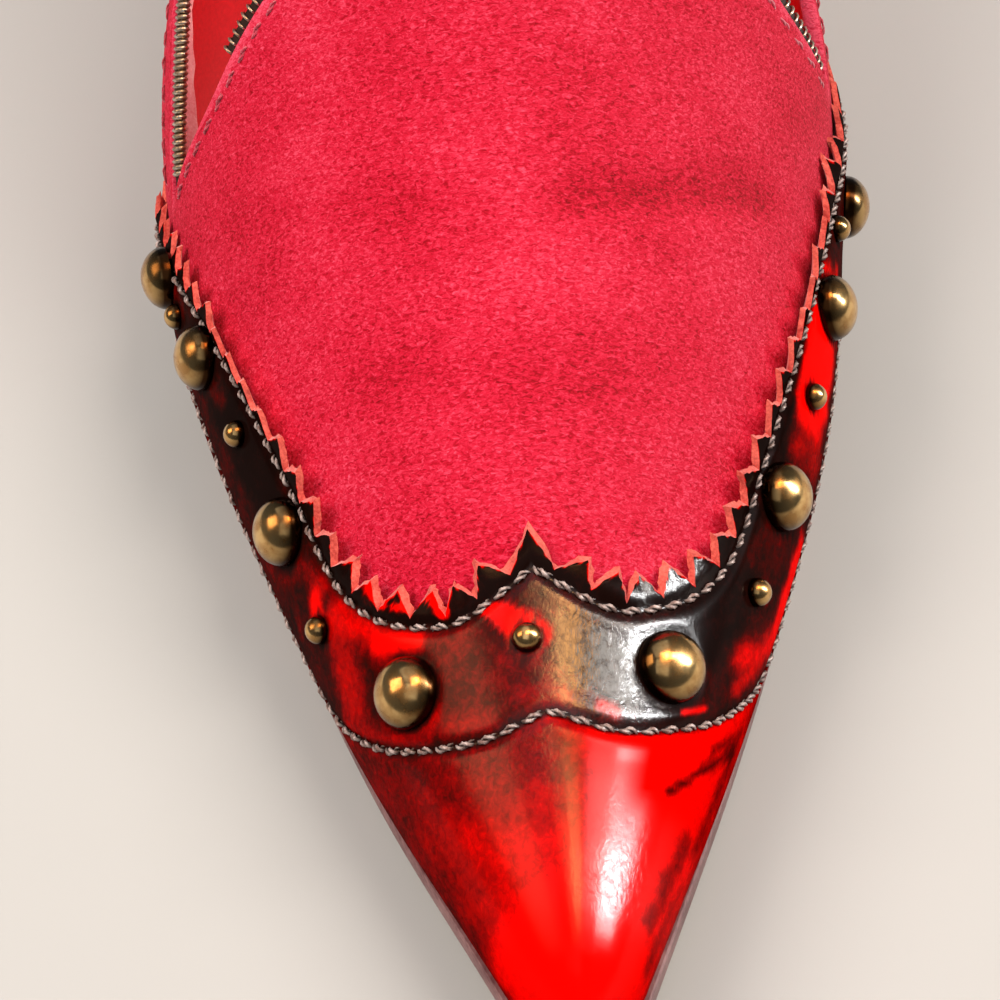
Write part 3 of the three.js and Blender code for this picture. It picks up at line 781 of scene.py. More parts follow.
@dataclass(frozen=True, kw_only=True)
class Crowned(Finish):
    """A small hard piece, clean on its crown and dirty where it meets the leather, by the crown attribute."""

    bright: str
    dull: str
    dirt: str
    dirt_to: float = 0.0
    clean_from: float
    patch_mm: float = 1.6
    dull_rough: float = 1.5
    bright_rough: float = 0.7

    def paint(self, add: Adder) -> Feeds:
        """Patina in patches, dull and bright, and dirt by the height on the piece.

        Args:
            add: adds a node to the material.

        Returns:
            What feeds the shader's inputs.
        """
        place = add("ShaderNodeTexCoord").outputs["Object"]
        patches = add("ShaderNodeTexNoise", {
            "Vector": place, "Scale": per_metre(self.patch_mm), "Detail": 4.0})
        patina = add("ShaderNodeValToRGB", {"Fac": patches}, stops=((0.38, self.dull), (0.6, self.bright)))
        crown = add("ShaderNodeAttribute", attribute_name="crown").outputs["Fac"]
        clean = add("ShaderNodeMapRange", {
            "Value": crown, "From Min": self.dirt_to, "From Max": self.clean_from})
        colour = add("ShaderNodeMix", {
            "Factor": clean, "A": linear(self.dirt), "B": patina}, data_type="RGBA")
        rough = add("ShaderNodeMapRange", {
            "Value": patches, "From Min": 0.35, "From Max": 0.65,
            "To Min": self.roughness * self.dull_rough, "To Max": self.roughness * self.bright_rough})
        return {"Base Color": colour, "Roughness": rough}


# Kid suede, buffed on its flesh side: matt, with a rosy bloom towards the outline.
SUEDE = Suede("suede_kid_crimson", roughness=0.95, specular=0.15, sheen=0.14, sheen_roughness=0.45,
              sheen_tint="#ff9aa8")
# Glazed calf, waxed and burnished by hand: a clear gloss where it is rubbed and none where it is not.
LEATHER = BurnishedLeather("calf_glazed_hand_burnished", roughness=0.5, specular=0.0, coat_roughness=0.19)
HEEL_LEATHER = BurnishedLeather("calf_glazed_heel_cover", roughness=0.5, specular=0.0, coat_roughness=0.19,
                                mottle=0.1, cloud_mm=14.0)
# Cut edge and flesh side of the calf: matt, fibrous, salmon red where the dye thins out.
RAW_EDGE = Grained("calf_raw_cut_edge", roughness=0.95, specular=0.1, sheen=0.3, dark="#b02e28",
                   light="#f26c5c", patch_mm=2.5, grain_mm=0.35, relief_mm=0.15)
# Lining kid: smooth, close grain with a low satin sheen.
LINING = Grained("kid_lining_red", roughness=0.42, dark="#c8060f", light="#e40f1c", patch_mm=12.0,
                 grain_mm=0.6, relief_mm=0.03)
# Sock of the same kid, a shade darker and duller from wear.
SOCK = Grained("kid_sock_red", roughness=0.5, dark="#a5080f", light="#c4121c", patch_mm=15.0, grain_mm=0.7,
               relief_mm=0.04)
# Bonded polyester sewing thread: two twisted plies with a waxy shine, dark between them.
THREAD = Crowned("polyester_thread_mauve", roughness=0.4, bright="#d6beb6", dull="#8a6a62", dirt="#1d0f0c",
                 dirt_to=0.3, clean_from=0.95, patch_mm=0.6)
# The same thread in the suede's own red, sunk into the nap.
TONAL_THREAD = Grained("polyester_thread_rose", roughness=0.6, sheen=0.4, dark="#9a1028", light="#d03a55",
                       patch_mm=1.5, grain_mm=0.25, relief_mm=0.03)
# Woven cotton zip tape: matt and slightly hairy, faded pink where it faces the inside.
TAPE = Grained("cotton_tape_pink", roughness=0.9, sheen=0.3, dark="#ee7078", light="#ffa6a6", patch_mm=3.0,
               grain_mm=0.3, relief_mm=0.08)
DARK_TAPE = Grained("cotton_tape_brown", roughness=0.9, dark="#1d120e", light="#3a2620", patch_mm=2.0,
                    grain_mm=0.3, relief_mm=0.08)
# Oak-bark sole leather: buffed pale and matt underneath.
SOLE_LEATHER = Grained("sole_leather_buffed", roughness=0.62, dark="#9c7a55", light="#c8a880", patch_mm=14.0,
                       grain_mm=0.8, relief_mm=0.06)
# The same leather's trimmed edge: stained, waxed and streaked along its layers.
SOLE_EDGE = Grained("sole_edge_waxed", roughness=0.45, dark="#5e3436", light="#9c706e", patch_mm=6.0,
                    grain_mm=0.5, relief_mm=0.05, stretch=(1.0, 0.3, 2.0))
# Hard moulded rubber: near black and matt.
RUBBER = Grained("rubber_hard_black", roughness=0.75, dark="#100e0d", light="#221f1d", patch_mm=5.0,
                 grain_mm=0.5, relief_mm=0.04)
# Stamped brass, polished once and worn dull: a soft wide highlight.
BRASS = Crowned("brass_polished_aged", roughness=0.2, metallic=1.0, bright="#e4bc7e", dull="#bd9058",
                dirt="#2e1a0b", dirt_to=0.28, clean_from=1.05)
# Brass wire with a worn gunmetal plating: grey, bright on its outside and dark in its gaps.
GUNMETAL = Crowned("brass_gunmetal_plated", roughness=0.36, metallic=1.0, bright="#d2c6b8", dull="#a49686",
                   dirt="#2a1f16", clean_from=0.3, patch_mm=0.8)


@dataclass(frozen=True)
class Crease:
    """A soft crease over the vamp: a trough with a ridge on the toe side.

    The line gives at for each across; depth and width are in millimetres.
    """

    line: tuple[Pair, ...]
    depth: float
    width: float
    fade: float = 0.12
    ridge: float = 0.45
    ridge_off: float = 1.7

    def relief(self, at: Array, across: Array) -> Array:
        """Height of the crease, fading at both ends.

        Args:
            at: distance back from the toe tip.
            across: place over the section.

        Returns:
            A height for each place, below zero in the trough.
        """
        places = np.array(self.line, float)
        off = (at - Spline(places[:, 0], places[:, 1])(across)) / self.width
        low, high = places[0, 0], places[-1, 0]
        fade = smooth(across, low, low + self.fade) * (1 - smooth(across, high - self.fade, high))
        near = np.exp(-off ** 2) - self.ridge * np.exp(-(off + self.ridge_off) ** 2)
        return -self.depth * near * fade


@dataclass
class Part:
    """A sub-assembly of the shoe, worked out on the last and shown in the frame."""

    last: Last
    placement: Placement

    def dress(self) -> list[Object]:
        """Shows the pieces of the sub-assembly."""
        raise NotImplementedError


@dataclass
class Upper(Part):
    """Lasted suede upper: vamp, tongue and quarters as one wall with a smooth lining."""

    toe_rows: tuple[float, ...] = (0, 0.15, 0.6, 1.3, 2.4, 3.8, 5.2, 7, 9, 11.5, 14)
    vamp_rows: int = 80
    tongue_rows: int = 14
    tongue_columns: int = 96
    tongue_ease: float = 1.8
    quarter_step: float = 1.6
    seat_rows: int = 26
    quarter_columns: int = 20
    rim_steps: int = 8
    rim_bulge: float = 0.55
    rim_fade: float = 3.0
    crease_shade: float = 0.2
    edge_light: float = 0.14
    edge_wide: float = 1.3
    relief_from: Pair = (4.0, 20.0)
    creases: tuple[Crease, ...] = (
        Crease(((0.0, 84.7), (0.1, 85.2), (0.225, 87.0), (0.3, 88.3), (0.377, 90.0), (0.468, 91.8),
                (0.58, 94.3)), 0.42, 3.0),
        Crease(((-0.62, 99.9), (-0.45, 94.1), (-0.333, 90.4), (-0.228, 87.5), (-0.06, 85.3)), 0.14, 2.6),
        Crease(((-0.4, 70.0), (0.0, 66.0), (0.4, 68.0)), 0.12, 4.0),
    )
    # Slow unevenness of the stretched suede: height, length along the shoe, turn over a section, phase
    waves: tuple[tuple[float, float, float, float], ...] = ((0.05, 6.1, 3.0, 0.0), (0.05, 9.7, -7.0, 1.0))

    def folds(self, at: Array, across: Array) -> Array:
        """Height of all creases."""
        return sum(crease.relief(at, across) for crease in self.creases)

    def relief(self, at: Array, across: Array) -> Array:
        """Height of the creases and the waves, flat at the toe tip."""
        slow = sum(high * np.sin(at / run + turn * across + phase) for high, run, turn, phase in self.waves)
        return (self.folds(at, across) + slow) * smooth(at, *self.relief_from)

    def faces(self, at: Array, across: Array) -> tuple[Array, Array]:
        """Outer and inner points of the wall."""
        outer = self.last.wall(at, across, UPPER_DEPTH, self.relief(at, across))
        return outer, self.last.wall(at, across, UPPER_DEPTH + WALL)

    def rim(self, outer: Array, inner: Array, before: Array) -> Array:
        """Folded edge: rows of a half round from the outer to the inner face.

        Args:
            outer: the outer face's edge.
            inner: the inner face's edge.
            before: the outer face's points next to the edge.

        Returns:
            Rows of the rim.
        """
        away = unit(outer - before)
        ends = smooth(from_ends(outer), 0, self.rim_fade)
        turn = np.linspace(0, math.pi, self.rim_steps + 1)[:, None, None]
        bulge = away * (self.rim_bulge * ends)[:, None]
        return (outer + inner) / 2 + (outer - inner) / 2 * np.cos(turn) + bulge * np.sin(turn)

    def quarter_places(self) -> Array:
        """Rows of the quarters from the notch to the back seam."""
        straight = np.linspace(NOTCH_AT, SEAT_AT, int((SEAT_AT - NOTCH_AT) / self.quarter_step) + 1)
        return np.concatenate([straight, seat_turn(SEAT_AT, SEAT_ROUND, self.seat_rows)[1:]])

    def tongue_edge(self, across: Array) -> Places:
        """Place of the tongue's edge."""
        return NOTCH_AT + self.last.tongue_reach(np.abs(across)), across

    def tongue_share(self) -> Array:
        """Rows of the tongue as shares of its reach, closer together towards its edge."""
        return 1 - np.linspace(1, 0, self.tongue_rows + 1)[:, None] ** self.tongue_ease

    def patches(self) -> list[Places]:
        """Grids of places on the upper.

        Returns:
            at and across of the vamp, the tongue, the outer quarter and the inner quarter.
        """
        sides = np.linspace(NOTCH_ACROSS, 1, self.quarter_columns + 1)
        tongue = np.linspace(-NOTCH_ACROSS, NOTCH_ACROSS, self.tongue_columns + 1)
        columns = np.concatenate([-sides[::-1], tongue[1:-1], sides])
        vamp_rows = np.linspace(self.toe_rows[-1], NOTCH_AT, self.vamp_rows + 1)[1:]
        vamp = np.meshgrid(np.concatenate([self.toe_rows, vamp_rows]), columns, indexing="ij")
        top = NOTCH_AT + self.tongue_share() * self.last.tongue_reach(np.abs(tongue))
        low = np.linspace(0, 1, self.quarter_columns + 1)
        rows = self.quarter_places()[:, None]
        quarter = np.broadcast_to(rows, (len(rows), len(low)))
        edge = self.last.topline(rows)
        return [(vamp[0], vamp[1]), (top, np.broadcast_to(tongue, top.shape)),
                (quarter, lerp(-1.0, -edge, low)), (quarter, lerp(edge, 1.0, low))]

    def build(self) -> Mesh:
        """The wall, with suede outside, lining inside and a folded edge.

        Returns:
            The mesh in the frame.
        """
        work = Patchwork(self.placement)
        shell, lining = 0, 1
        patches = self.patches()
        made = [self.faces(*patch) for patch in patches]
        shades = [np.maximum(-self.folds(*patch), 0) * self.crease_shade for patch in patches]
        away = (1 - self.tongue_share()) * self.last.tongue_reach(np.abs(patches[1][1]))
        shades[1] = shades[1] - self.edge_light * np.exp(-(away / self.edge_wide) ** 2)
        for (outer, inner), shade in zip(made, shades):
            work.grid(outer, shell, crease=shade)
            work.grid(inner, lining)
        vamp, tongue, outside, inside = made
        free = [(tongue, np.s_[-1], np.s_[-2]), (outside, np.s_[:, -1], np.s_[:, -2]),
                (inside, np.s_[:, 0], np.s_[:, 1])]
        for (outer, inner), edge_row, next_row in free:
            rim = self.rim(outer[edge_row], inner[edge_row], outer[next_row])
            work.grid(rim, shell, crease=np.full(rim.shape[:2], -self.edge_light))
        hems = [(vamp, np.s_[:, 0]), (vamp, np.s_[:, -1]), (outside, np.s_[:, 0]), (inside, np.s_[:, -1])]
        for (outer, inner), hem in hems:
            work.grid(np.stack([outer[hem], inner[hem]]), shell)
        return work.mesh("upper_suede", (SUEDE, LINING))

    def dress(self) -> list[Object]:
        """Shows the upper in place of its solid."""
        return [show(self.build(), ["upper"])]


class Zone(Enum):
    """Parts of the wing tip that are burnished on their own."""

    TOE = "below the lower stitch row"
    BAND = "between the stitch rows"
    TEETH = "above the upper stitch row"


# Unevenness of a stroke's edge: height, turn along x, y and z in radians per millimetre, phase
EDGE_WAVES = ((0.5, (1.3, 0.9, 0.4), 0.0), (0.35, (-0.7, 1.7, 1.1), 1.3), (0.25, (2.9, -2.3, 0.8), 2.1))
EDGE_ROUGH = 0.3


@dataclass(frozen=True)
class Stroke:
    """One stroke of the hand burnish, from one place to another: half width in millimetres and tone.

    A tone of 0 is the red of the dye and 1 is black. The edge says how softly the stroke runs out.
    """

    at: float
    across: float
    to_at: float
    to_across: float
    wide: float
    tone: float
    edge: float

    def brush(self, last: Last, points: Array, tone: Array) -> Array:
        """Brushes the stroke over points.

        Args:
            last: the last, on which the stroke's places lie.
            points: the points.
            tone: their tone before.

        Returns:
            Their tone after.
        """
        start, end = last.point([self.at, self.to_at], [self.across, self.to_across])
        way = end - start
        share = np.clip((points - start) @ way / max(way @ way, TINY), 0, 1)
        reach = np.linalg.norm(points - start - share[..., None] * way, axis=-1) / self.wide
        rough = sum(high * np.sin(points @ np.array(turns) + phase) for high, turns, phase in EDGE_WAVES)
        reach = reach + EDGE_ROUGH * self.edge * rough
        return lerp(tone, self.tone, 1 - smooth(reach, 1 - self.edge, 1 + self.edge))


# The burnish of each zone, from soft grounds to sharp strokes: from and to as at and across, half width,
# tone, edge
BURNISH = {zone: tuple(Stroke(*row) for row in rows) for zone, rows in {
    Zone.TOE: (
        (31.5, -0.6, 25.5, -0.3, 4.0, 0.55, 0.8), (27, -0.3, 25.5, 0.04, 3.6, 0.56, 0.8),
        (24.5, -0.25, 22.5, -0.02, 3.0, 0.52, 0.9), (20.5, -0.2, 19, 0.03, 3.0, 0.4, 0.95),
        (16.5, -0.2, 15.5, 0.0, 2.6, 0.28, 0.95), (26.75, 0.173, 21.75, 0.218, 2.2, 0.16, 0.8),
        (31.5, 0.62, 36.25, 0.778, 0.6, 0.5, 0.9), (11.75, 0.55, 21, 0.64, 1.3, 0.42, 0.95),
        (34.5, 0.77, 21.75, 0.735, 0.9, 0.45, 0.9), (17, 0.723, 7.25, 0.67, 0.9, 0.4, 0.9),
        (24.5, 0.46, 29, 0.605, 0.5, 0.62, 0.9), (29, 0.605, 33.75, 0.758, 0.6, 0.6, 0.9),
    ),
    Zone.BAND: (
        (46.75, -0.562, 40.5, -0.302, 2.4, 0.27, 0.8), (42.25, -0.605, 38.5, -0.65, 2.6, 0.36, 0.8),
        (37.25, -0.715, 30.75, -0.438, 1.4, 0.46, 0.8), (35.25, -0.355, 32.25, -0.38, 1.7, 0.42, 0.8),
        (40.75, -0.458, 37.75, -0.28, 1.3, 0.5, 0.8), (37.75, -0.25, 32.5, -0.045, 3.9, 0.58, 0.7),
        (31, -0.305, 30, -0.185, 1.5, 0.46, 0.8), (41.8, -0.45, 40.3, -0.34, 1.1, 0.06, 0.7),
        (32.5, -0.015, 31.5, 0.045, 1.4, 0.52, 0.7), (37, 0.17, 34.5, 0.36, 4.1, 0.9, 0.4),
        (40.7, 0.427, 47.5, 0.548, 3.1, 0.97, 0.4), (40.7, 0.103, 40.5, 0.278, 1.4, 0.8, 0.5),
        (58.5, -0.643, 65.2, -0.633, 2.9, 0.94, 0.4), (66, -0.617, 79.5, -0.657, 3.4, 0.98, 0.4),
        (79.5, -0.657, 93, -0.705, 2.6, 0.8, 0.5), (93, -0.705, 101.7, -0.712, 1.4, 0.62, 0.5),
        (82.5, -0.68, 77.75, -0.647, 1.2, 0.66, 0.8), (66, -0.863, 54.5, -0.682, 1.1, 0.6, 0.8),
        (54.5, -0.615, 51.25, -0.557, 1.3, 0.5, 0.8), (50.5, -0.607, 48.25, -0.633, 1.3, 0.02, 0.7),
        (52, -0.715, 50, -0.755, 0.9, 0.55, 0.7), (60.5, 0.79, 49.75, 0.79, 1.4, 0.1, 0.7),
        (42.25, 0.635, 47, 0.775, 1.8, 0.24, 0.8), (39, 0.645, 42.5, 0.71, 0.8, 0.36, 0.8),
        (90.5, 0.705, 95.25, 0.718, 0.9, 0.3, 0.7), (47.5, 0.548, 57.2, 0.565, 2.1, 0.93, 0.4),
        (75, 0.665, 89, 0.675, 4.4, -0.05, 0.45), (57.7, 0.583, 72.2, 0.578, 1.0, 0.95, 0.5),
        (72.2, 0.575, 80.5, 0.59, 0.6, 0.75, 0.6), (53, 0.583, 60.2, 0.63, 1.7, 0.72, 0.5),
        (69, 0.65, 69.5, 0.74, 2.2, 0.4, 0.9), (50, 0.62, 50.5, 0.653, 1.2, 0.1, 0.7),
        (33.25, 0.455, 34.75, 0.53, 0.4, 0.03, 0.7), (31.25, 0.177, 30.75, 0.222, 0.7, 0.26, 0.8),
        (41.7, -0.135, 40.6, -0.085, 0.8, -0.1, 0.65), (40.6, -0.085, 39.3, -0.05, 1.2, -0.1, 0.65),
        (38.7, -0.037, 38.1, -0.022, 2.0, -0.1, 0.35),
    ),
    Zone.TEETH: (
        (47.5, -0.41, 45.5, -0.39, 0.9, 0.1, 0.3), (44, -0.26, 42, -0.237, 0.8, 0.05, 0.3),
        (46.7, -0.438, 46, -0.425, 0.4, 0.75, 0.3), (43, -0.21, 42.2, -0.188, 0.6, 0.92, 0.3),
        (44.5, -0.362, 43.5, -0.32, 0.5, 0.15, 0.4),
    ),
}.items()}


# Weight of the gloss on the toe, the band and the teeth in front, by across
POLISH_TOE = (
    (-0.9, 0.04), (-0.6, 0.06), (-0.3, 0.36), (-0.1, 0.42), (0.0, 0.5), (0.05, 0.46), (0.1, 0.3), (0.17, 0.5),
    (0.42, 0.5), (0.6, 0.08), (0.9, 0.04))
POLISH_BAND = (
    (-0.9, 0.04), (-0.5, 0.06), (-0.2, 0.3), (-0.05, 0.3), (0.06, 0.8), (0.3, 0.8), (0.42, 0.2), (0.6, 0.06),
    (0.9, 0.04))
POLISH_TEETH = ((0.22, 0.06), (0.28, 0.6), (0.4, 0.6), (0.48, 0.1), (0.6, 0.04))
# Share of the toe's gloss by distance from its tip, on the inner side of the ridge and on the outer side
POLISH_INNER = ((7, 0.2), (9.5, 0.35), (11.5, 1.0), (15.5, 1.0), (18, 0.6), (23, 0.5), (26, 0.3), (32, 0.25))
POLISH_OUTER = ((8, 0.1), (13, 0.45), (19, 0.55), (27, 1.0))


def charted(place: Array, chart: Sequence[Pair]) -> Array:
    """Values of a chart of places and values."""
    return np.interp(place, *zip(*chart))


@dataclass
class WingTip(Part):
    """Pinked wing tip: one leather over the toe and along the sides, with two stitch rows."""

    tooth_pitch: float = 4.6
    tooth_foot: float = 0.9
    tooth_tip: float = 3.8
    bevel: float = 0.95
    bevel_side: float = 0.6
    bevel_turn: Pair = (0.3, 0.5)
    edge_thick: float = 0.62
    fray: float = 0.08
    half_girth: float = 50.0
    hem_end: float = 139.0
    tip_share: float = 0.12
    tip_clear: float = 0.3
    hem_ease: float = 1.05
    toe_ease: float = 1.6
    nudge: float = 0.25
    steps: int = 6
    toe_rows: int = 32
    band_rows: int = 22
    tooth_rows: int = 7
    relief_to: float = 4.0
    groove: float = 0.28
    groove_width: float = 0.7
    puff: float = 0.07
    puff_off: float = 1.68
    puff_width: float = 0.91
    dip: float = 0.14
    dip_width: float = 0.6
    tilt_front: float = 5.0
    tilt_side: float = 33.0
    tilt_side_turn: Pair = (0.12, 0.42)
    tilt_back: float = -12.0
    tilt_back_turn: Pair = (0.5, 0.75)
    tilt_uneven: float = 4.0
    rise_uneven: float = 0.05
    seed: int = 11
    # Tones of the grounds, and where they change over along the shoe and over the section
    ground_toe: float = 0.02
    ground_edge: float = 0.6
    ground_hem: float = 0.66
    ground_band: float = 0.72
    ground_teeth: float = 0.97
    toe_start: tuple[Pair, ...] = ((8, -0.6), (10, -0.35), (14, 0.2), (27, 0.38))
    toe_end: float = -0.9
    inner_turn: Pair = (0.58, 0.9)
    inner_share: float = 0.75
    hem_turn: Pair = (36.0, 58.0)
    seam_dirt: float = 0.6
    seam_dirt_width: float = 0.5
    stud_dirt: float = 0.7
    stud_dirt_width: float = 0.35
    # Gloss of the sides, and where the toe's gloss changes over
    polish_side: float = 0.04
    polish_side_turn: Pair = (46.0, 58.0)
    polish_ridge_turn: Pair = (-0.08, 0.04)
    polish_streak_turn: Pair = (-0.36, -0.22)
    polish_streak_from: Pair = (19.0, 24.0)
    # Points and normals along each stitch row, which build fills in
    rows: dict[str, Array] = field(default_factory=dict)

    def __post_init__(self) -> None:
        """Measures the stitch rows and counts the teeth."""
        self.upper_seam = Seam(self.last, UPPER_SEAM)
        self.lower_seam = Seam(self.last, LOWER_SEAM)
        self.half_teeth = 2 * round(self.upper_seam.length / self.tooth_pitch) + 1
        random = np.random.default_rng(self.seed)
        self.chance = random.normal(size=(2, 2 * self.half_teeth + 1))
        self.frayed = random.normal(size=(4, 2 * self.half_teeth * self.steps + 1))

    def pinked(self, extra: float) -> Places:
        """Corners of the toothed edge, from the outer end to the inner one.

        Args:
            extra: how far the edge stands past the grain side's edge.

        Returns:
            at and across of each corner.
        """
        order = np.arange(-self.half_teeth, self.half_teeth + 1)
        share = order / self.half_teeth
        step = self.nudge / self.half_teeth
        at, across = self.upper_seam.spot(share)
        ahead = self.upper_seam.spot(np.clip(share + step, -1, 1))
        behind = self.upper_seam.spot(np.clip(share - step, -1, 1))
        along, over, normal = self.last.directions(at, across)
        forward = self.last.point(*ahead) - self.last.point(*behind)
        extra = extra * lerp(1.0, self.bevel_side, smooth(np.abs(share), *self.bevel_turn))
        rise = np.where(order % 2 == 0, self.tooth_tip, self.tooth_foot) + extra
        rise = rise * (1 + self.rise_uneven * self.chance[0] * (order != 0))
        up = unit(np.cross(forward, normal)) * -rise[:, None]
        aa, ao, oo = [(p * q).sum(-1) for p, q in ((along, along), (along, over), (over, over))]
        ua, uo = (up * along).sum(-1), (up * over).sum(-1)
        scale = aa * oo - ao * ao
        edge_at = at + (oo * ua - ao * uo) / scale
        edge_across = across + (aa * uo - ao * ua) / scale
        peak = order == 0
        return np.where(peak, at + rise, edge_at), np.where(peak, 0.0, edge_across)

    def places(self) -> tuple[Array, Array, Array, Array, Array]:
        """Grid of places from the hem to the toothed edge.

        Returns:
            at and across of the grain side, those of the flesh side, and each row's part: up to 1 on the
            toe, up to 2 on the band and up to 3 on the teeth.
        """
        order = np.arange(-self.half_teeth, self.half_teeth + 1)
        fine = np.linspace(-self.half_teeth, self.half_teeth, 2 * self.half_teeth * self.steps + 1)
        share = fine / self.half_teeth
        beyond = np.maximum((np.abs(share) - self.tip_share) / (1 - self.tip_share), 0)
        hem = self.hem_end * beyond ** self.hem_ease, np.clip(share / self.tip_share, -1, 1)
        lower, upper = self.lower_seam.spot(share), self.upper_seam.spot(share)
        fray = np.array([1.0, 1 / self.half_girth])
        corners = self.pinked(0.0) + self.pinked(self.bevel)
        edges = [np.interp(fine, order, v) for v in corners]
        edges = [v + self.fray * f * c for v, f, c in zip(edges, (*fray, *(2 * fray)), self.frayed)]
        grain, flesh = edges[:2], edges[2:]
        toe = 1 - (1 - np.linspace(0, 1, self.toe_rows)) ** self.toe_ease
        band = 0.5 - 0.5 * np.cos(np.linspace(0, math.pi, self.band_rows))[1:]
        tooth = np.linspace(0, 1, self.tooth_rows)[1:]
        part = np.concatenate([toe, 1 + band, 2 + tooth])
        made = []
        for edge in (grain, flesh):
            for hem_v, low_v, up_v, edge_v in zip(hem, lower, upper, edge):
                rows = [lerp(hem_v, low_v, s) for s in toe] + [lerp(low_v, up_v, s) for s in band]
                made.append(np.array(rows + [lerp(up_v, edge_v, s) for s in tooth]))
        slanted = self.last.slanted
        return slanted(made[0], made[1]), made[1], slanted(made[2], made[3]), made[3], part

    def seam_rows(self) -> tuple[int, int]:
        """Grid rows of the lower and the upper stitch row."""
        return self.toe_rows - 1, self.toe_rows + self.band_rows - 2

    def seam_distances(self, base: Array) -> list[Array]:
        """Distance of every point from each stitch row, along its own column."""
        return [np.linalg.norm(base - base[row], axis=-1) for row in self.seam_rows()]

    def stud_distances(self, base: Array) -> list[Array]:
        """Distance of every point from the rim of each stud, 0 under the stud."""
        studs = [(self.last.point(*place), STUD_SHAPES[size]) for size, *place in stud_places(self.last)]
        return [np.maximum(np.linalg.norm(base - spot, axis=-1) - stud.radius, 0) for spot, stud in studs]

    def relief(self, base: Array) -> Array:
        """Grooves under the stitch rows and dips round the studs.

        Args:
            base: points of the grain side.

        Returns:
            A height for each point.
        """
        height = np.zeros(base.shape[:2])
        for away in self.seam_distances(base):
            height -= self.groove * np.exp(-(away / self.groove_width) ** 2)
            height += self.puff * np.exp(-((away - self.puff_off) / self.puff_width) ** 2)
        for away in self.stud_distances(base):
            height -= self.dip * np.exp(-(away / self.dip_width) ** 2)
        return height

    def raised(self, points: Array, normal: Array) -> Array:
        """Bends the teeth up from the upper stitch row, most of all on the sides.

        Args:
            points: points of one side of the leather.
            normal: the surface's normals.

        Returns:
            The points with the teeth bent.
        """
        row = self.seam_rows()[1]
        place = np.linspace(-1, 1, points.shape[1])
        order = np.linspace(-1, 1, self.chance.shape[1])
        tilt = lerp(self.tilt_front, self.tilt_side, smooth(np.abs(place), *self.tilt_side_turn))
        tilt = lerp(tilt, self.tilt_back, smooth(np.abs(place), *self.tilt_back_turn))
        tilt = np.radians(tilt + self.tilt_uneven * np.interp(place, order, self.chance[1]))[:, None]
        off = points[row:] - points[row]
        reach = np.linalg.norm(off, axis=-1, keepdims=True)
        bent = points[row] + off * np.cos(tilt) + normal[row] * reach * np.sin(tilt)
        return np.concatenate([points[:row], bent])

    @staticmethod
    def zones(part: Array) -> Array:
        """Number of each row's zone; the stitch row at the end of a zone belongs to it."""
        return np.searchsorted((1, 2), part - TINY)[:, None]

    def tone(self, at: Array, across: Array, base: Array, part: Array) -> Array:
        """Burnish of the leather: grounds, strokes, and dirt in the grooves and round the studs.

        Args:
            at: distance back from the toe tip.
            across: place over the section.
            base: points of the grain side.
            part: part of each row.

        Returns:
            A tone for each point.
        """
        start = charted(at, self.toe_start)
        toe = np.clip((start - across) / (start - self.toe_end), 0, 1)
        toe = lerp(self.ground_toe, self.ground_edge, toe)
        toe = lerp(toe, self.ground_edge, self.inner_share * smooth(across, *self.inner_turn))
        hem = lerp(toe, self.ground_hem, smooth(at, *self.hem_turn))
        zones = self.zones(part)
        tone = np.choose(zones, (hem, self.ground_band, self.ground_teeth))
        for number, zone in enumerate(Zone):
            for stroke in BURNISH[zone]:
                tone = np.where(zones == number, stroke.brush(self.last, base, tone), tone)
        for away in self.seam_distances(base):
            tone = lerp(tone, 1.0, self.seam_dirt * np.exp(-(away / self.seam_dirt_width) ** 2))
        for away in self.stud_distances(base):
            tone = lerp(tone, 1.0, self.stud_dirt * np.exp(-(away / self.stud_dirt_width) ** 2))
        return tone

    def polish(self, at: Array, across: Array, part: Array) -> Array:
        """Gloss of the wax: rubbed up on the toe, most of all on the band, and left dull on the sides.

        Args:
            at: distance back from the toe tip.
            across: place over the section.
            part: part of each row.

        Returns:
            A weight of the gloss for each place.
        """
        toe, band, teeth = [charted(across, chart) for chart in (POLISH_TOE, POLISH_BAND, POLISH_TEETH)]
        inner, outer = [charted(at, chart) for chart in (POLISH_INNER, POLISH_OUTER)]
        streak = smooth(-across, *self.polish_streak_turn)
        inner = inner * lerp(1.0, streak, smooth(at, *self.polish_streak_from))
        toe = toe * lerp(inner, outer, smooth(-across, *self.polish_ridge_turn))
        front = np.choose(self.zones(part), (toe, band, teeth))
        return lerp(front, self.polish_side, smooth(at, *self.polish_side_turn))

    def build(self) -> Mesh:
        """The leather with its raw pinked edge, and the stitch rows' paths on it.

        Returns:
            The mesh in the frame.
        """
        at, across, flesh_at, flesh_across, part = self.places()
        base = self.last.layer(at, across, 0.0)
        normal = self.last.directions(np.maximum(at, self.tip_clear), across)[2]
        outer = base + normal * (self.relief(base) * smooth(at, self.tip_clear, self.relief_to))[..., None]
        for name, row in zip(("lower", "upper"), self.seam_rows()):
            self.rows[name] = np.stack([outer[row], normal[row]])
        outer = self.raised(outer, normal)
        under = self.last.directions(np.maximum(flesh_at, self.tip_clear), flesh_across)[2]
        skived = (WING_THICKNESS - self.edge_thick) * np.maximum(part - 2, 0)
        inner = self.last.layer(flesh_at, flesh_across, WING_THICKNESS) + under * skived[:, None, None]
        inner = self.raised(inner, normal)
        work = Patchwork(self.placement)
        grain, raw = 0, 1
        tone, polish = self.tone(at, across, base, part), self.polish(at, across, part)
        work.grid(outer, grain, burnish=tone, polish=polish)
        work.grid(inner, raw)
        for edge in Patchwork.EDGES:
            work.grid(np.stack([outer[edge], (outer[edge] + inner[edge]) / 2, inner[edge]]), raw)
        return work.mesh("wing_tip_leather", (LEATHER, RAW_EDGE))

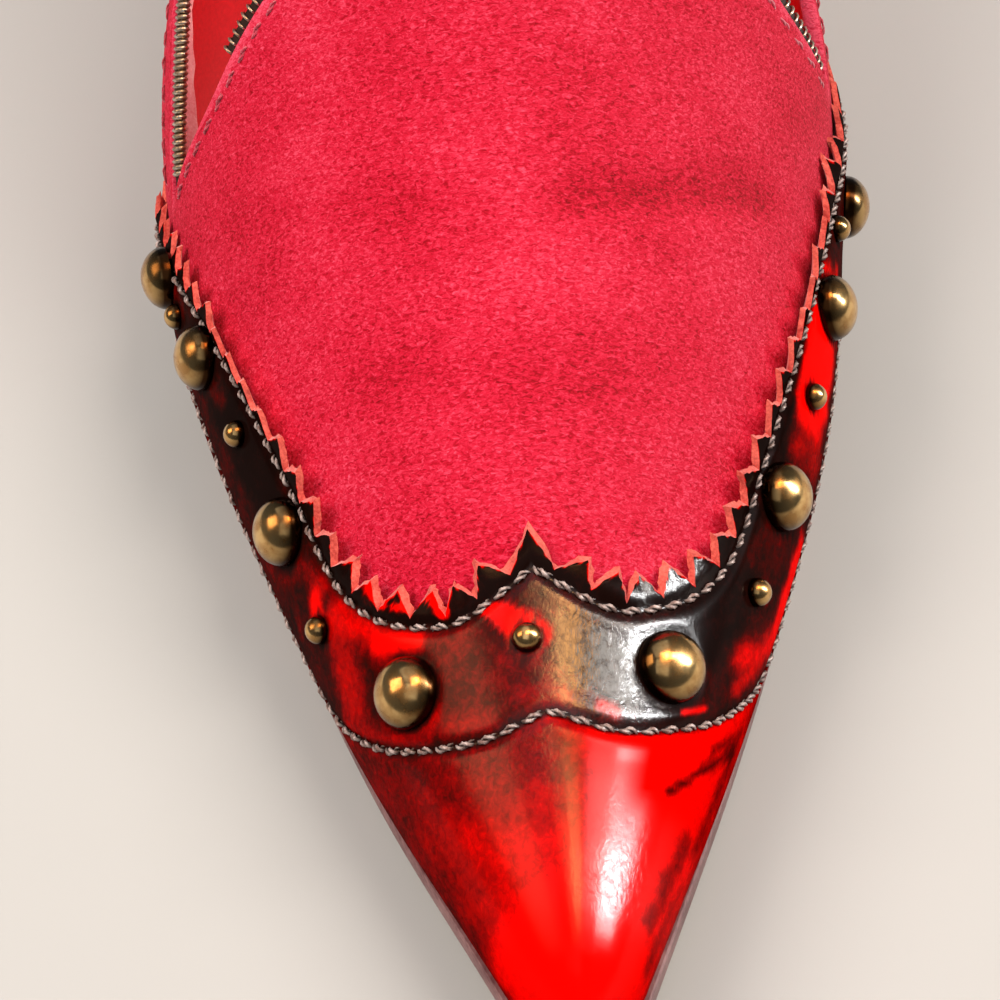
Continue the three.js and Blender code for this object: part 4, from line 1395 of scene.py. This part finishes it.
    def dress(self) -> list[Object]:
        """Shows the wing tip in place of its solid."""
        return [show(self.build(), ["wing_tip"])]


@dataclass(frozen=True)
class StudShape:
    """Dome stud in millimetres."""

    radius: float
    height: float
    sink: float
    sides: int
    rings: int
    foot: float = 0.9
    brim: float = 0.2

    def mesh(self, name: str) -> Mesh:
        """The stud about its own axis, with its crown's height as an attribute.

        Args:
            name: name of the mesh.

        Returns:
            The mesh in metres.
        """
        turn = np.linspace(0, math.pi / 2, self.rings)[:-1]
        radius = self.radius * np.concatenate([[self.foot, 1], np.cos(turn)])[:, None]
        rise = np.concatenate([[-self.sink, -self.sink * self.brim], self.height * np.sin(turn)])
        around = full_turn(self.sides)
        rings = np.stack([radius * np.cos(around), radius * np.sin(around),
                          np.broadcast_to(rise[:, None], (len(rise), self.sides))], axis=-1)
        bottom, top = [np.broadcast_to([0.0, 0.0, z], (1, self.sides, 3)) for z in (-self.sink, self.height)]
        rings = np.concatenate([bottom, rings, top])
        work = Patchwork(in_metres)
        work.rings(rings, crown=np.clip(rings[..., 2] / self.height, 0, 1))
        return work.mesh(name)


STUD_SHAPES = {
    StudSize.LARGE: StudShape(3.9, 3.1, 0.6, 56, 18),
    StudSize.SMALL: StudShape(1.6, 1.6, 0.5, 32, 11),
}


def stud_places(last: Last) -> list[tuple[StudSize, float, float]]:
    """Size and place of every stud.

    Args:
        last: the last, which slants the pattern.

    Returns:
        Size, at and across of each stud.
    """
    places = [(StudSize.SMALL, *CENTRE_STUD)]
    for size, at, lateral, medial in STUDS:
        places += [(size, at, -lateral), (size, at, medial)]
    return [(size, float(last.slanted(at, across)), across) for size, at, across in places]


class RowTree:
    """Geometry Nodes tree that sets copies of a unit on points, or evenly along a path."""

    NAME = "units_along_path"

    def __init__(self) -> None:
        """Builds the tree with its named inputs."""
        self.tree = bpy.data.node_groups.new(self.NAME, "GeometryNodeTree")
        self.ids: dict[str, str] = {}
        face = self.tree.interface
        for name, kind in (("Path", "Geometry"), ("Unit", "Object"), ("Spaced", "Bool"), ("Pitch", "Float"),
                           ("Turn jitter", "Float"), ("Size jitter", "Float"), ("Seed", "Int"),
                           ("Finish", "Material")):
            self.ids[name] = face.new_socket(name, in_out="INPUT", socket_type=f"NodeSocket{kind}").identifier
        face.new_socket("Units", in_out="OUTPUT", socket_type="NodeSocketGeometry")
        self._link()

    def _link(self) -> None:
        """Path or points, copies turned to the path, then plain faces with their finish."""
        add = partial(add_node, self.tree)
        given = add("NodeGroupInput").outputs
        curve = add("GeometryNodeMeshToCurve", {"Mesh": given["Path"]})
        even = add("GeometryNodeResampleCurve", {"Curve": curve, "Length": given["Pitch"]}, mode="LENGTH")
        points = add("GeometryNodeSwitch", {
            "Switch": given["Spaced"], "False": given["Path"], "True": even}, input_type="GEOMETRY")
        along, up = [add("GeometryNodeInputNamedAttribute", {"Name": name}, data_type="FLOAT_VECTOR")
                     for name in ("along", "up")]
        facing = add("FunctionNodeAxesToRotation", {"Primary Axis": along, "Secondary Axis": up},
                     primary_axis="X", secondary_axis="Z")
        less = add("ShaderNodeMath", {0: given["Turn jitter"], 1: -1.0}, operation="MULTIPLY")
        turn = add("FunctionNodeRandomValue", {
            "Min": less, "Max": given["Turn jitter"], "Seed": given["Seed"]}, data_type="FLOAT")
        spin = add("ShaderNodeCombineXYZ", {"X": turn})
        spun = add("FunctionNodeEulerToRotation", {"Euler": spin})
        rotation = add("FunctionNodeRotateRotation", {
            "Rotation": facing, "Rotate By": spun}, rotation_space="LOCAL")
        small, large = [add("ShaderNodeMath", {0: 1.0, 1: given["Size jitter"]}, operation=way)
                        for way in ("SUBTRACT", "ADD")]
        size = add("FunctionNodeRandomValue", {
            "Min": small, "Max": large, "Seed": given["Seed"]}, data_type="FLOAT")
        shape = add("GeometryNodeObjectInfo", {"Object": given["Unit"]})
        copies = add("GeometryNodeInstanceOnPoints", {
            "Points": points, "Instance": shape.outputs["Geometry"], "Rotation": rotation, "Scale": size})
        plain = add("GeometryNodeRealizeInstances", {"Geometry": copies})
        dressed = add("GeometryNodeSetMaterial", {"Geometry": plain, "Material": given["Finish"]})
        add("NodeGroupOutput", {"Units": dressed})


@dataclass
class UnitRow:
    """A row of equal units along a path, made by Geometry Nodes into one plain mesh."""

    name: str
    tree: RowTree
    placement: Placement
    unit_mesh: Mesh
    finish: Finish
    points: Array
    along: Array
    up: Array
    pitch: float = 0.0
    turn_jitter: float = 0.0
    size_jitter: float = 0.0
    seed: int = 7

    def build(self) -> Mesh:
        """Evaluates the row once and keeps its mesh.

        Returns:
            A plain mesh of all units, in the frame.
        """
        spaced = self.pitch > 0
        path = bpy.data.meshes.new(f"{self.name}_path")
        edges = [(i, i + 1) for i in range(len(self.points) - 1)] if spaced else []
        path.from_pydata(self.placement(self.points).tolist(), edges, [])
        for tag, values in (("along", self.along), ("up", self.up)):
            path.attributes.new(tag, "FLOAT_VECTOR", "POINT").data.foreach_set("vector", unit(values).ravel())
        carrier = bpy.data.objects.new(f"{self.name}_carrier", path)
        model = bpy.data.objects.new(f"{self.name}_unit", self.unit_mesh)
        bpy.context.scene.collection.objects.link(carrier)
        modifier = carrier.modifiers.new("row", "NODES")
        modifier.node_group = self.tree.tree
        values = {"Unit": model, "Spaced": spaced, "Pitch": self.pitch / METRE,
                  "Turn jitter": self.turn_jitter, "Size jitter": self.size_jitter, "Seed": self.seed,
                  "Finish": self.finish.material()}
        for name, value in values.items():
            modifier[self.tree.ids[name]] = value
        graph = bpy.context.evaluated_depsgraph_get()
        made = bpy.data.meshes.new_from_object(carrier.evaluated_get(graph), preserve_all_data_layers=True,
                                               depsgraph=graph)
        made.name = self.name
        carrier.modifiers.remove(modifier)
        for spent in (carrier, model):
            bpy.data.objects.remove(spent)
        return made


@dataclass
class Studs(Part):
    """Brass dome studs on the wing tip."""

    tree: RowTree

    def nodes(self, size: StudSize) -> list[str]:
        """Names of the solids of one size, the centre stud first."""
        wings = [f"stud_{size.value}_{side}_{1 + order // 2}" for order, row in enumerate(STUDS)
                 if row[0] is size for side in ("outer", "inner")]
        return ["stud_small_centre"] * (size is StudSize.SMALL) + wings

    def dress(self) -> list[Object]:
        """Shows the studs of each size in place of their solids.

        Returns:
            One piece for each size.
        """
        made = []
        for size in StudSize:
            at, across = np.array([place[1:] for place in stud_places(self.last) if place[0] is size]).T
            along, _, up = self.last.directions(at, across)
            row = UnitRow(f"studs_{size.value}", self.tree, self.placement,
                          STUD_SHAPES[size].mesh(f"stud_{size.value}"), BRASS,
                          self.last.point(at, across), along, up)
            made.append(show(row.build(), self.nodes(size)))
        return made


@dataclass(frozen=True)
class Thread:
    """A two-ply thread in millimetres: its pitch, the radius of a ply, its lift and how a stitch lies."""

    finish: Finish
    pitch: float
    ply: float
    lift: float = 0.0
    overlap: float = 1.02
    twist: float = 1.1
    apart: float = 0.7
    dip: float = 0.75
    dip_ease: float = 2.5
    slant: float = 0.12
    thinned: float = 0.25
    soiled: float = 0.9
    rings: int = 11
    sides: int = 4

    def mesh(self, name: str) -> Mesh:
        """The stitch along X, its ends drawn down into the leather, with the plies' outsides as its crown.

        Args:
            name: name of the mesh.

        Returns:
            The mesh in metres.
        """
        work = Patchwork(in_metres, Patchwork.ROUND)
        share = np.linspace(0, 1, self.rings)[:, None]
        end = np.abs(2 * share - 1)
        around = full_turn(self.sides)
        along = self.overlap * self.pitch * (share - 0.5)
        for phase in (0.0, math.pi):
            turn = 2 * math.pi * self.twist * share + phase
            thick = self.ply * (1 - self.thinned * end ** 4)
            y = self.apart * self.ply * np.cos(turn) + thick * np.cos(around + turn)
            z = self.apart * self.ply * np.sin(turn) + thick * np.sin(around + turn)
            crown = np.hypot(y, z) / (self.ply * (1 + self.apart)) * (1 - self.soiled * end ** 3)
            low = z - self.dip * end ** self.dip_ease
            ring = np.stack([np.broadcast_to(along, y.shape), y + self.slant * along, low], axis=-1)
            work.rings(ring, crown=crown)
        return work.mesh(name)


@dataclass
class Stitching(Part):
    """Stitch rows: two of heavy thread on the wing tip and tonal ones along the tongue and the quarters."""

    tree: RowTree
    upper: Upper
    wing: WingTip
    heavy: Thread = Thread(THREAD, 2.6, 0.27, 0.25)
    tonal: Thread = Thread(TONAL_THREAD, 3.3, 0.22)
    fine: Thread = Thread(TONAL_THREAD, 3.3, 0.13)
    turn_jitter: float = 0.5
    size_jitter: float = 0.05
    tongue_inset: float = 1.5
    tongue_end: float = 0.655
    tongue_steps: int = 240
    quarter_inset: float = 3.0
    quarter_from: int = 2
    trim: int = 6

    def row(self, name: str, points: Array, up: Array, thread: Thread) -> Mesh:
        """One stitch row of a thread along points of a surface, with the surface's normals."""
        path, along = points + thread.lift * unit(up), np.gradient(points, axis=0)
        return UnitRow(name, self.tree, self.placement, thread.mesh(f"{name}_stitch"), thread.finish, path,
                       along, up, thread.pitch, self.turn_jitter, self.size_jitter).build()

    def collar_rows(self) -> dict[str, tuple[Array, Array]]:
        """Paths of the tonal rows: inside the tongue's edge and below the topline of each quarter.

        Returns:
            Points and normals of each row, by its name.
        """
        across = np.linspace(-self.tongue_end, self.tongue_end, self.tongue_steps)
        rows = {"tongue": self.upper.tongue_edge(across)}
        at = self.upper.quarter_places()[self.quarter_from:]
        for name, side in (("outer", -1.0), ("inner", 1.0)):
            rows[name] = at, side * self.last.topline(at)
        made = {}
        for name, (at, across) in rows.items():
            edge = self.last.wall(at, across, UPPER_DEPTH)
            up = self.last.directions(self.last.slanted(at, across), across)[2]
            outwards = unit(np.cross(up, np.gradient(edge, axis=0)))
            outwards = outwards * (-1.0 if name == "outer" else 1.0)
            inset = self.tongue_inset if name == "tongue" else self.quarter_inset
            made[name] = edge - outwards * inset, up
        return made

    def dress(self) -> list[Object]:
        """Shows every stitch row.

        Returns:
            One piece for each row.
        """
        made = []
        kept = slice(self.trim, -self.trim)
        for name, (points, up) in self.wing.rows.items():
            mesh = self.row(f"stitches_{name}", points[kept], up[kept], self.heavy)
            made.append(show(mesh))
        for name, (points, up) in self.collar_rows().items():
            mesh = self.row(f"stitches_{name}", points, up, self.tonal if name == "tongue" else self.fine)
            made.append(show(mesh))
        return made


@dataclass(frozen=True)
class CoilTurn:
    """One turn of the zip's coil in millimetres: a wire bent round the row's core, open at the tape."""

    wire: float
    reach: float = 2.4
    height: float = 1.9
    lean: float = 0.1
    opening: float = 35.0
    crown: float = 0.16
    crown_out: float = 0.14
    sides: int = 5
    rings: int = 9

    def mesh(self, name: str) -> Mesh:
        """The turn about the row's axis, with the wire's outside as its crown.

        Args:
            name: name of the mesh.

        Returns:
            The mesh in metres.
        """
        gap = math.radians(self.opening)
        turn = np.linspace(gap - math.pi / 2, 1.5 * math.pi - gap, self.rings)[:, None]
        around = full_turn(self.sides)
        wide, tall = self.reach / 2 - self.wire, self.height / 2 - self.wire
        out = self.wire * np.cos(around)
        x = self.wire * np.sin(around) + self.lean * np.cos(turn)
        y = (wide + out) * np.sin(turn)
        z = (tall + out) * np.cos(turn)
        rings = np.stack([np.broadcast_to(x, y.shape), y, z], axis=-1)
        work = Patchwork(in_metres, Patchwork.ROUND)
        work.rings(rings, crown=np.broadcast_to(self.crown + self.crown_out * np.cos(around), y.shape))
        return work.mesh(name)


@dataclass
class ZipTrim(Part):
    """Zip teeth along the tongue's edge and the topline, on their tapes."""

    tree: RowTree
    upper: Upper
    tongue_ends: Pair = (-0.45, 0.655)
    tongue_steps: int = 180
    coil_starts: Pair = (14.0, 3.0)
    tape_starts: Pair = (14.0, 0.8)
    start_clear: float = 0.5
    topline_pitch: float = 0.76
    topline_wire: float = 0.36
    tongue_pitch: float = 1.15
    tongue_wire: float = 0.19
    turn_jitter: float = 0.04
    size_jitter: float = 0.03
    offset: float = 1.35
    core: float = 0.3
    core_root: float = 0.2
    core_reach: float = 1.9
    facing_wide: float = 2.6
    facing_narrow: float = 1.3
    facing_turn: Pair = (6.0, 26.0)
    facing_thick: float = 0.2
    facing_depth: float = 0.6
    facing_lift: float = 0.5
    facing_lean: float = 0.25
    facing_rows: tuple[float, ...] = (0.0, 0.55, 1.0)
    fray: float = 0.12
    fray_waves: Pair = (0.9, 2.3)
    fray_phase: float = 1.0

    def tongue_places(self) -> Places:
        """Places along the tongue's edge."""
        at, across = self.upper.tongue_edge(np.linspace(*self.tongue_ends, self.tongue_steps))
        return self.last.slanted(at, across), across

    def topline_places(self, starts: Pair) -> Places:
        """Places along the topline from the inner notch round the back seam to the outer notch.

        Args:
            starts: how far behind the inner and the outer notch the row starts.

        Returns:
            at and across of each place.
        """
        rows = self.upper.quarter_places()
        firsts = [NOTCH_AT + start for start in starts]
        inner, outer = [np.concatenate([[first], rows[rows > first + self.start_clear]]) for first in firsts]
        at = np.concatenate([inner, outer[-2::-1]])
        side = np.concatenate([np.ones(len(inner)), -np.ones(len(outer) - 1)])
        across = side * self.last.topline(at)
        return self.last.slanted(at, across), across

    def teeth(self, places: Places) -> tuple[Array, Array, Array, Array]:
        """Directions along a row of teeth.

        Args:
            places: at and across of the wall's edge.

        Returns:
            Middle of the wall's edge, with its run, its way out and its normal.
        """
        centre = self.last.layer(*places, UPPER_DEPTH + WALL / 2)
        run = unit(np.gradient(centre, axis=0))
        normal = self.last.directions(*places)[2]
        away = unit(np.cross(normal, run))
        return centre, run, away, unit(np.cross(run, away))

    def facing(self, places: Places) -> tuple[Array, Array]:
        """Frayed facing that shows inside the topline.

        Args:
            places: at and across of the wall's edge.

        Returns:
            Upper and lower points of the facing.
        """
        edge = self.last.layer(*places, UPPER_DEPTH + self.facing_depth * WALL)
        _, _, away, thick = self.teeth(places)
        run = distance_along(edge)
        short, long = self.fray_waves
        wide = lerp(self.facing_wide, self.facing_narrow, smooth(from_ends(edge), *self.facing_turn))
        wide = wide * (1 + self.fray * np.sin(run / short) * np.sin(run / long + self.fray_phase))
        share = np.array(self.facing_rows)[:, None, None]
        inwards = (thick + self.facing_lean * away) * wide[:, None]
        upper = edge + away * self.facing_lift - inwards * share
        return upper, upper - away * self.facing_thick

    def tape(self, name: str, places: Places, inside: bool) -> Mesh:
        """Tape that carries the coil.

        Args:
            name: name of the row.
            places: at and across of the wall's edge.
            inside: whether a facing shows inside the shoe.

        Returns:
            The mesh in the frame.
        """
        centre, _, away, thick = self.teeth(places)
        work = Patchwork(self.placement)
        lift = thick * self.core
        low, high = centre - away * self.core_root, centre + away * self.core_reach
        work.sheet(np.stack([low + lift, high + lift]), np.stack([low - lift, high - lift]), 0)
        if inside:
            work.sheet(*self.facing(places), 1)
        return work.mesh(f"{name}_tape", (DARK_TAPE, TAPE) if inside else (DARK_TAPE,))

    def dress(self) -> list[Object]:
        """Shows teeth in place of the solid strips, with their tapes.

        Returns:
            Teeth and tape of each row.
        """
        made = []
        tongue = self.tongue_places()
        coil, tape = [self.topline_places(starts) for starts in (self.coil_starts, self.tape_starts)]
        for name, places, taped, inside, pitch, wire in (
                ("zip_tongue", tongue, tongue, False, self.tongue_pitch, self.tongue_wire),
                ("zip_topline", coil, tape, True, self.topline_pitch, self.topline_wire)):
            centre, run, away, thick = self.teeth(places)
            coil_turn = CoilTurn(wire).mesh(f"{name}_turn")
            row = UnitRow(f"{name}_teeth", self.tree, self.placement, coil_turn, GUNMETAL,
                          centre + away * self.offset, run, thick, pitch, self.turn_jitter, self.size_jitter)
            made.append(show(row.build(), [name]))
            made.append(show(self.tape(name, taped, inside)))
        return made


@dataclass
class Bottom(Part):
    """Insole with its sock, outsole, heel and top piece."""

    corner_steps: int = 5
    insole_start: float = 9.0
    insole_inset: float = 3.7
    insole_thickness: float = 2.4
    insole_dish: float = 0.8
    insole_round: float = 1.0
    insole_round_most: float = 0.4  # share of the width, where the insole is narrow
    insole_rows: int = 130
    insole_seat_rows: int = 24
    insole_columns: int = 18
    sole_tip: float = 1.0
    sole_toe: float = 15.0
    sole_toe_rows: int = 16
    sole_rows: int = 120
    sole_bevel: float = 0.8
    sole_lip: Pair = (0.25, 0.3)
    seat_inset: float = 1.8
    heel_straight: float = 0.45
    heel_straight_steps: int = 10
    heel_round_steps: int = 22
    heel_rows: int = 56
    heel_polish: float = 0.25
    # Tone of the heel's burnish, and how much darker it gets towards the floor and under the seat
    heel_tone: float = 0.42
    heel_low_dark: float = 0.34
    heel_low_turn: Pair = (0.55, 1.0)
    heel_seat_dark: float = 0.3
    heel_seat_turn: Pair = (0.0, 0.16)
    top_height: float = 6.0
    top_lip: float = 0.25
    top_bevel: float = 0.5
    top_bevel_middle: float = 0.15

    def insole(self) -> Mesh:
        """Insole board under a dished sock with a rounded edge.

        Returns:
            The mesh in the frame.
        """
        seat = seat_turn(SEAT_AT, SEAT_ROUND - self.insole_inset, self.insole_seat_rows)[1:]
        rows = np.concatenate([np.linspace(self.insole_start, SEAT_AT, self.insole_rows), seat])
        outer, inner = [self.last.feather_half(rows, side, self.insole_inset) for side in (-1, 1)]
        low = self.last.curve["feather"](rows)
        top = low + self.insole_thickness
        edge = np.minimum(self.insole_round, self.insole_round_most * (inner - outer))
        turn = np.linspace(0, math.pi / 2, self.corner_steps)
        corner = [(edge * (1 - np.cos(a)), top - self.insole_round * (1 - np.sin(a))) for a in turn]
        ring = [(outer, low)] + [(outer + aside, z) for aside, z in corner]
        for share in np.linspace(0, 1, self.insole_columns)[1:-1]:
            dish = self.insole_dish * 4 * share * (1 - share)
            ring.append((lerp(outer + edge, inner - edge, share), top - dish))
        ring += [(inner - aside, z) for aside, z in corner[::-1]] + [(inner, low)]
        work = Patchwork(self.placement)
        work.rings(np.stack([np.stack([x, rows, z], -1) for x, z in ring], axis=1))
        return work.mesh("insole_sock", (SOCK,))

    def outsole(self) -> Mesh:
        """Sole leather with a rounded, waxed edge from the toe tip to the heel's breast.

        Returns:
            The mesh in the frame.
        """
        toe = -self.sole_tip + self.sole_toe * np.linspace(0, 1, self.sole_toe_rows) ** 2
        rows = np.concatenate([toe, np.linspace(self.sole_toe, BREAST_AT - GAP, self.sole_rows)])
        on = np.maximum(rows, 0)
        tip = round_end(rows + self.sole_tip, TOE_ROUND + self.sole_tip)
        top = self.last.curve["feather"](on) - GAP
        low = np.maximum(top - self.last.sole_thickness(on), 0)
        middle, stand = self.last.curve["middle"](on), self.last.sole_edge(on)
        lip_in, lip_down = self.sole_lip
        turn = np.linspace(0, math.pi / 2, self.corner_steps)
        halves = []
        for side, curve in ((-1, "lateral"), (1, "medial")):
            wide = (self.last.curve[curve](on) + stand) * tip
            edge = [(wide - lip_in, top), (wide, top - lip_down)]
            edge += [(wide - self.sole_bevel * tip * (1 - np.cos(a)), low + self.sole_bevel * (1 - np.sin(a)))
                     for a in turn]
            halves.append([np.stack([middle + side * x, rows, z], -1) for x, z in edge])
        ring = halves[0] + halves[1][::-1]
        waxed, buffed = 0, 1
        underside = len(halves[0]) - 1
        work = Patchwork(self.placement)
        work.rings(np.stack(ring, axis=1), lambda i: buffed if i == underside else waxed)
        return work.mesh("outsole_leather", (SOLE_EDGE, SOLE_LEATHER))

    def heel_outline(self) -> tuple[Array, Array]:
        """Outline of half a heel section.

        Returns:
            Shares from its front to its back, with its width there.
        """
        straight = np.linspace(0, self.heel_straight, self.heel_straight_steps + 1)
        angle = np.linspace(0, math.pi / 2, self.heel_round_steps + 1)[1:]
        share = np.concatenate([straight, self.heel_straight + (1 - self.heel_straight) * np.sin(angle)])
        return share, np.concatenate([np.ones(len(straight)), np.cos(angle)])

    @staticmethod
    def heel_ring(outer: Array, inner: Array, y: Array, z: Array) -> Array:
        """Ring of a heel section, down its outer side and back up its inner side."""
        down, up = [np.stack([x, y, z], -1) for x in (outer, inner)]
        return np.concatenate([down, up[-2::-1]])

    def heel(self) -> Mesh:
        """Slim covered heel, lofted from the round seat to the top piece.

        Returns:
            The mesh in the frame.
        """
        share, width = self.heel_outline()
        table = np.array(HEEL, float)
        front, front_z, back, back_z, half = [Spline(np.arange(len(table)), column) for column in table.T]
        at = lerp(BREAST_AT, LENGTH - self.seat_inset, share)
        seat = [self.last.feather_half(at, side, self.seat_inset) * (width > TINY) for side in (-1, 1)]
        rings = [self.heel_ring(*seat, at, self.last.curve["feather"](at) - GAP)]
        for order in np.linspace(0, len(table) - 1, self.heel_rows)[1:]:
            x = half(order) * width
            rings.append(self.heel_ring(-x, x, lerp(front(order), back(order), share),
                                        lerp(front_z(order), back_z(order), share)))
        rings = np.stack(rings)
        down = np.linspace(0, 1, len(rings))[:, None]
        tone = (self.heel_tone + self.heel_low_dark * smooth(down, *self.heel_low_turn)
                + self.heel_seat_dark * (1 - smooth(down, *self.heel_seat_turn)))
        work = Patchwork(self.placement)
        work.rings(rings, burnish=np.broadcast_to(tone, rings.shape[:2]),
                   polish=np.full(rings.shape[:2], self.heel_polish))
        return work.mesh("heel_cover", (HEEL_LEATHER,))

    def top_piece(self) -> Mesh:
        """Wearing tip with softened edges.

        Returns:
            The mesh in the frame.
        """
        share, width = self.heel_outline()
        front, _, back, _, half = HEEL[-1]
        rings = []
        for inset, z in ((self.top_lip, self.top_height), (0, self.top_height - self.top_lip),
                         (0, self.top_bevel), (self.top_bevel_middle, self.top_bevel_middle),
                         (self.top_bevel, 0)):
            x = (half - inset) * width
            rings.append(self.heel_ring(-x, x, lerp(front + inset, back - inset, share),
                                        np.full(len(share), z)))
        work = Patchwork(self.placement)
        work.rings(np.stack(rings))
        return work.mesh("top_piece_rubber", (RUBBER,))

    def dress(self) -> list[Object]:
        """Shows the four pieces in place of their solids."""
        return [show(self.insole(), ["insole"]), show(self.outsole(), ["outsole"]),
                show(self.heel(), ["heel"]), show(self.top_piece(), ["top_piece"])]


class LightUse(Enum):
    """What a studio light is set up for."""

    ALL = "everything"
    FILL = "even light on matt surfaces, with no reflection of its own"
    GLINT = "a reflection in polished surfaces, with no light of its own"


@dataclass(frozen=True)
class Softbox:
    """A soft studio light: where it stands as seen from the toe, its size in metres and its power."""

    name: str
    azimuth: float
    elevation: float
    distance: float
    size: Pair
    power: float
    colour: str = "#ffffff"
    use: LightUse = LightUse.ALL


@dataclass
class Studio:
    """Pale floor, soft light and the camera at the photograph's angle."""

    placement: Placement
    target: Triple = (1.7, 45.3, 40.9)
    azimuth: float = 6.0
    elevation: float = 49.6
    roll: float = -6.7
    distance: float = 227.0
    sensor: float = 36.0
    focal: float = 81.9
    clip_start: float = 0.01
    floor_half: float = 3.0
    floor_colour: str = "#b9b6b2"
    floor_roughness: float = 0.9
    surround_colour: str = "#cfd2d6"
    surround_strength: float = 0.18
    lights: tuple[Softbox, ...] = (
        Softbox("window_upper", 99.5, 48, 0.8, (0.15, 0.42), 3.0, "#fff6ec", LightUse.GLINT),
        Softbox("window_lower", 93.8, 29, 0.8, (0.04, 0.34), 10.0, "#ffffff", LightUse.GLINT),
        Softbox("window_left", -92, 40, 1.1, (0.5, 0.6), 4.0, "#ffcd98", LightUse.GLINT),
        Softbox("lamp_warm", 106, 75, 1.0, (0.24, 0.24), 5.4, "#ffb870", LightUse.GLINT),
        Softbox("ceiling", 90, 87, 1.2, (0.5, 0.4), 3.8, "#ffc48c", LightUse.GLINT),
        Softbox("softbox_right", 95, 55, 1.2, (0.8, 0.8), 15.5, "#fff8f0", LightUse.FILL),
        Softbox("softbox_left", -85, 50, 1.2, (0.8, 0.8), 13.5, "#fff8f0", LightUse.FILL),
        Softbox("softbox_back", 195, 62, 1.4, (1.2, 1.2), 3.2, "#f4f6ff"),
        Softbox("softbox_front", -10, 60, 1.3, (1.0, 1.0), 2.8),
    )

    @staticmethod
    def direction(azimuth: float, elevation: float) -> Array:
        """Direction from the object; azimuth 0 is in front of the toe and 90 on the inner side."""
        a, e = math.radians(azimuth), math.radians(elevation)
        return np.array([math.sin(a) * math.cos(e), -math.cos(a) * math.cos(e), math.sin(e)])

    @staticmethod
    def aimed(back: Array, place: Array, roll: float = 0.0) -> Matrix:
        """Aims a light or the camera.

        Args:
            back: direction from the target to the place.
            place: where it stands.
            roll: its turn about its own axis, in degrees.

        Returns:
            Its matrix in the frame.
        """
        right = unit(np.cross([0.0, 0.0, 1.0], back))
        up = np.cross(back, right)
        c, s = math.cos(math.radians(roll)), math.sin(math.radians(roll))
        right, up = c * right + s * up, c * up - s * right
        matrix = np.eye(4)
        matrix[:3, 0], matrix[:3, 1], matrix[:3, 2], matrix[:3, 3] = right, up, back, place
        return Matrix(matrix.tolist())

    def floor(self) -> None:
        """Plain pale floor."""
        half = self.floor_half
        mesh = bpy.data.meshes.new("floor")
        corners = [(-half, -half, 0), (half, -half, 0), (half, half, 0), (-half, half, 0)]
        mesh.from_pydata(corners, [], [(0, 1, 2, 3)])
        plain = bpy.data.materials.new("paper_pale")
        plain.use_nodes = True
        shader = plain.node_tree.nodes["Principled BSDF"]
        shader.inputs["Base Color"].default_value = linear(self.floor_colour)
        shader.inputs["Roughness"].default_value = self.floor_roughness
        mesh.materials.append(plain)
        floor = bpy.data.objects.new("floor", mesh)
        bpy.context.scene.collection.objects.link(floor)

    def light(self) -> None:
        """Softboxes and a dim even surround."""
        scene = bpy.context.scene
        focus = self.placement(np.array(self.target))
        for box in self.lights:
            lamp = bpy.data.lights.new(box.name, "AREA")
            lamp.shape = "RECTANGLE"
            lamp.size, lamp.size_y = box.size
            lamp.energy = box.power
            lamp.color = linear(box.colour)[:3]
            back = self.direction(box.azimuth, box.elevation)
            holder = bpy.data.objects.new(box.name, lamp)
            holder.matrix_world = self.aimed(back, focus + back * box.distance)
            holder.visible_diffuse = box.use is not LightUse.GLINT
            holder.visible_glossy = box.use is not LightUse.FILL
            scene.collection.objects.link(holder)
        world = bpy.data.worlds.new("surround")
        world.use_nodes = True
        background = world.node_tree.nodes["Background"]
        background.inputs["Color"].default_value = linear(self.surround_colour)
        background.inputs["Strength"].default_value = self.surround_strength
        scene.world = world
        scene.view_settings.view_transform = "Standard"

    def camera(self) -> None:
        """Camera close above the toe, as in the photograph."""
        lens = bpy.data.cameras.new("camera")
        lens.sensor_width = self.sensor
        lens.lens = self.focal
        lens.clip_start = self.clip_start
        back = self.direction(self.azimuth, self.elevation)
        place = self.placement(np.array(self.target)) + back * self.distance / METRE
        camera = bpy.data.objects.new("camera", lens)
        camera.matrix_world = self.aimed(back, place, self.roll)
        bpy.context.scene.collection.objects.link(camera)
        bpy.context.scene.camera = camera

    def dress(self) -> None:
        """Sets up floor, light and camera."""
        self.camera()
        self.floor()
        self.light()


def main() -> None:
    """Builds the pump in order, with the studio around it, and reports each piece."""
    logging.basicConfig(level=logging.INFO, format="%(name)s: %(message)s")
    last, placement, tree = Last(), Placement(), RowTree()
    Studio(placement).dress()
    upper, wing = Upper(last, placement), WingTip(last, placement)
    parts: tuple[Part, ...] = (
        upper, wing, Studs(last, placement, tree), Stitching(last, placement, tree, upper, wing),
        ZipTrim(last, placement, tree, upper), Bottom(last, placement))
    for part in parts:
        for piece in part.dress():
            LOG.info("%s: %d faces", piece.name, len(piece.data.polygons))


if __name__ == "__main__":
    main()
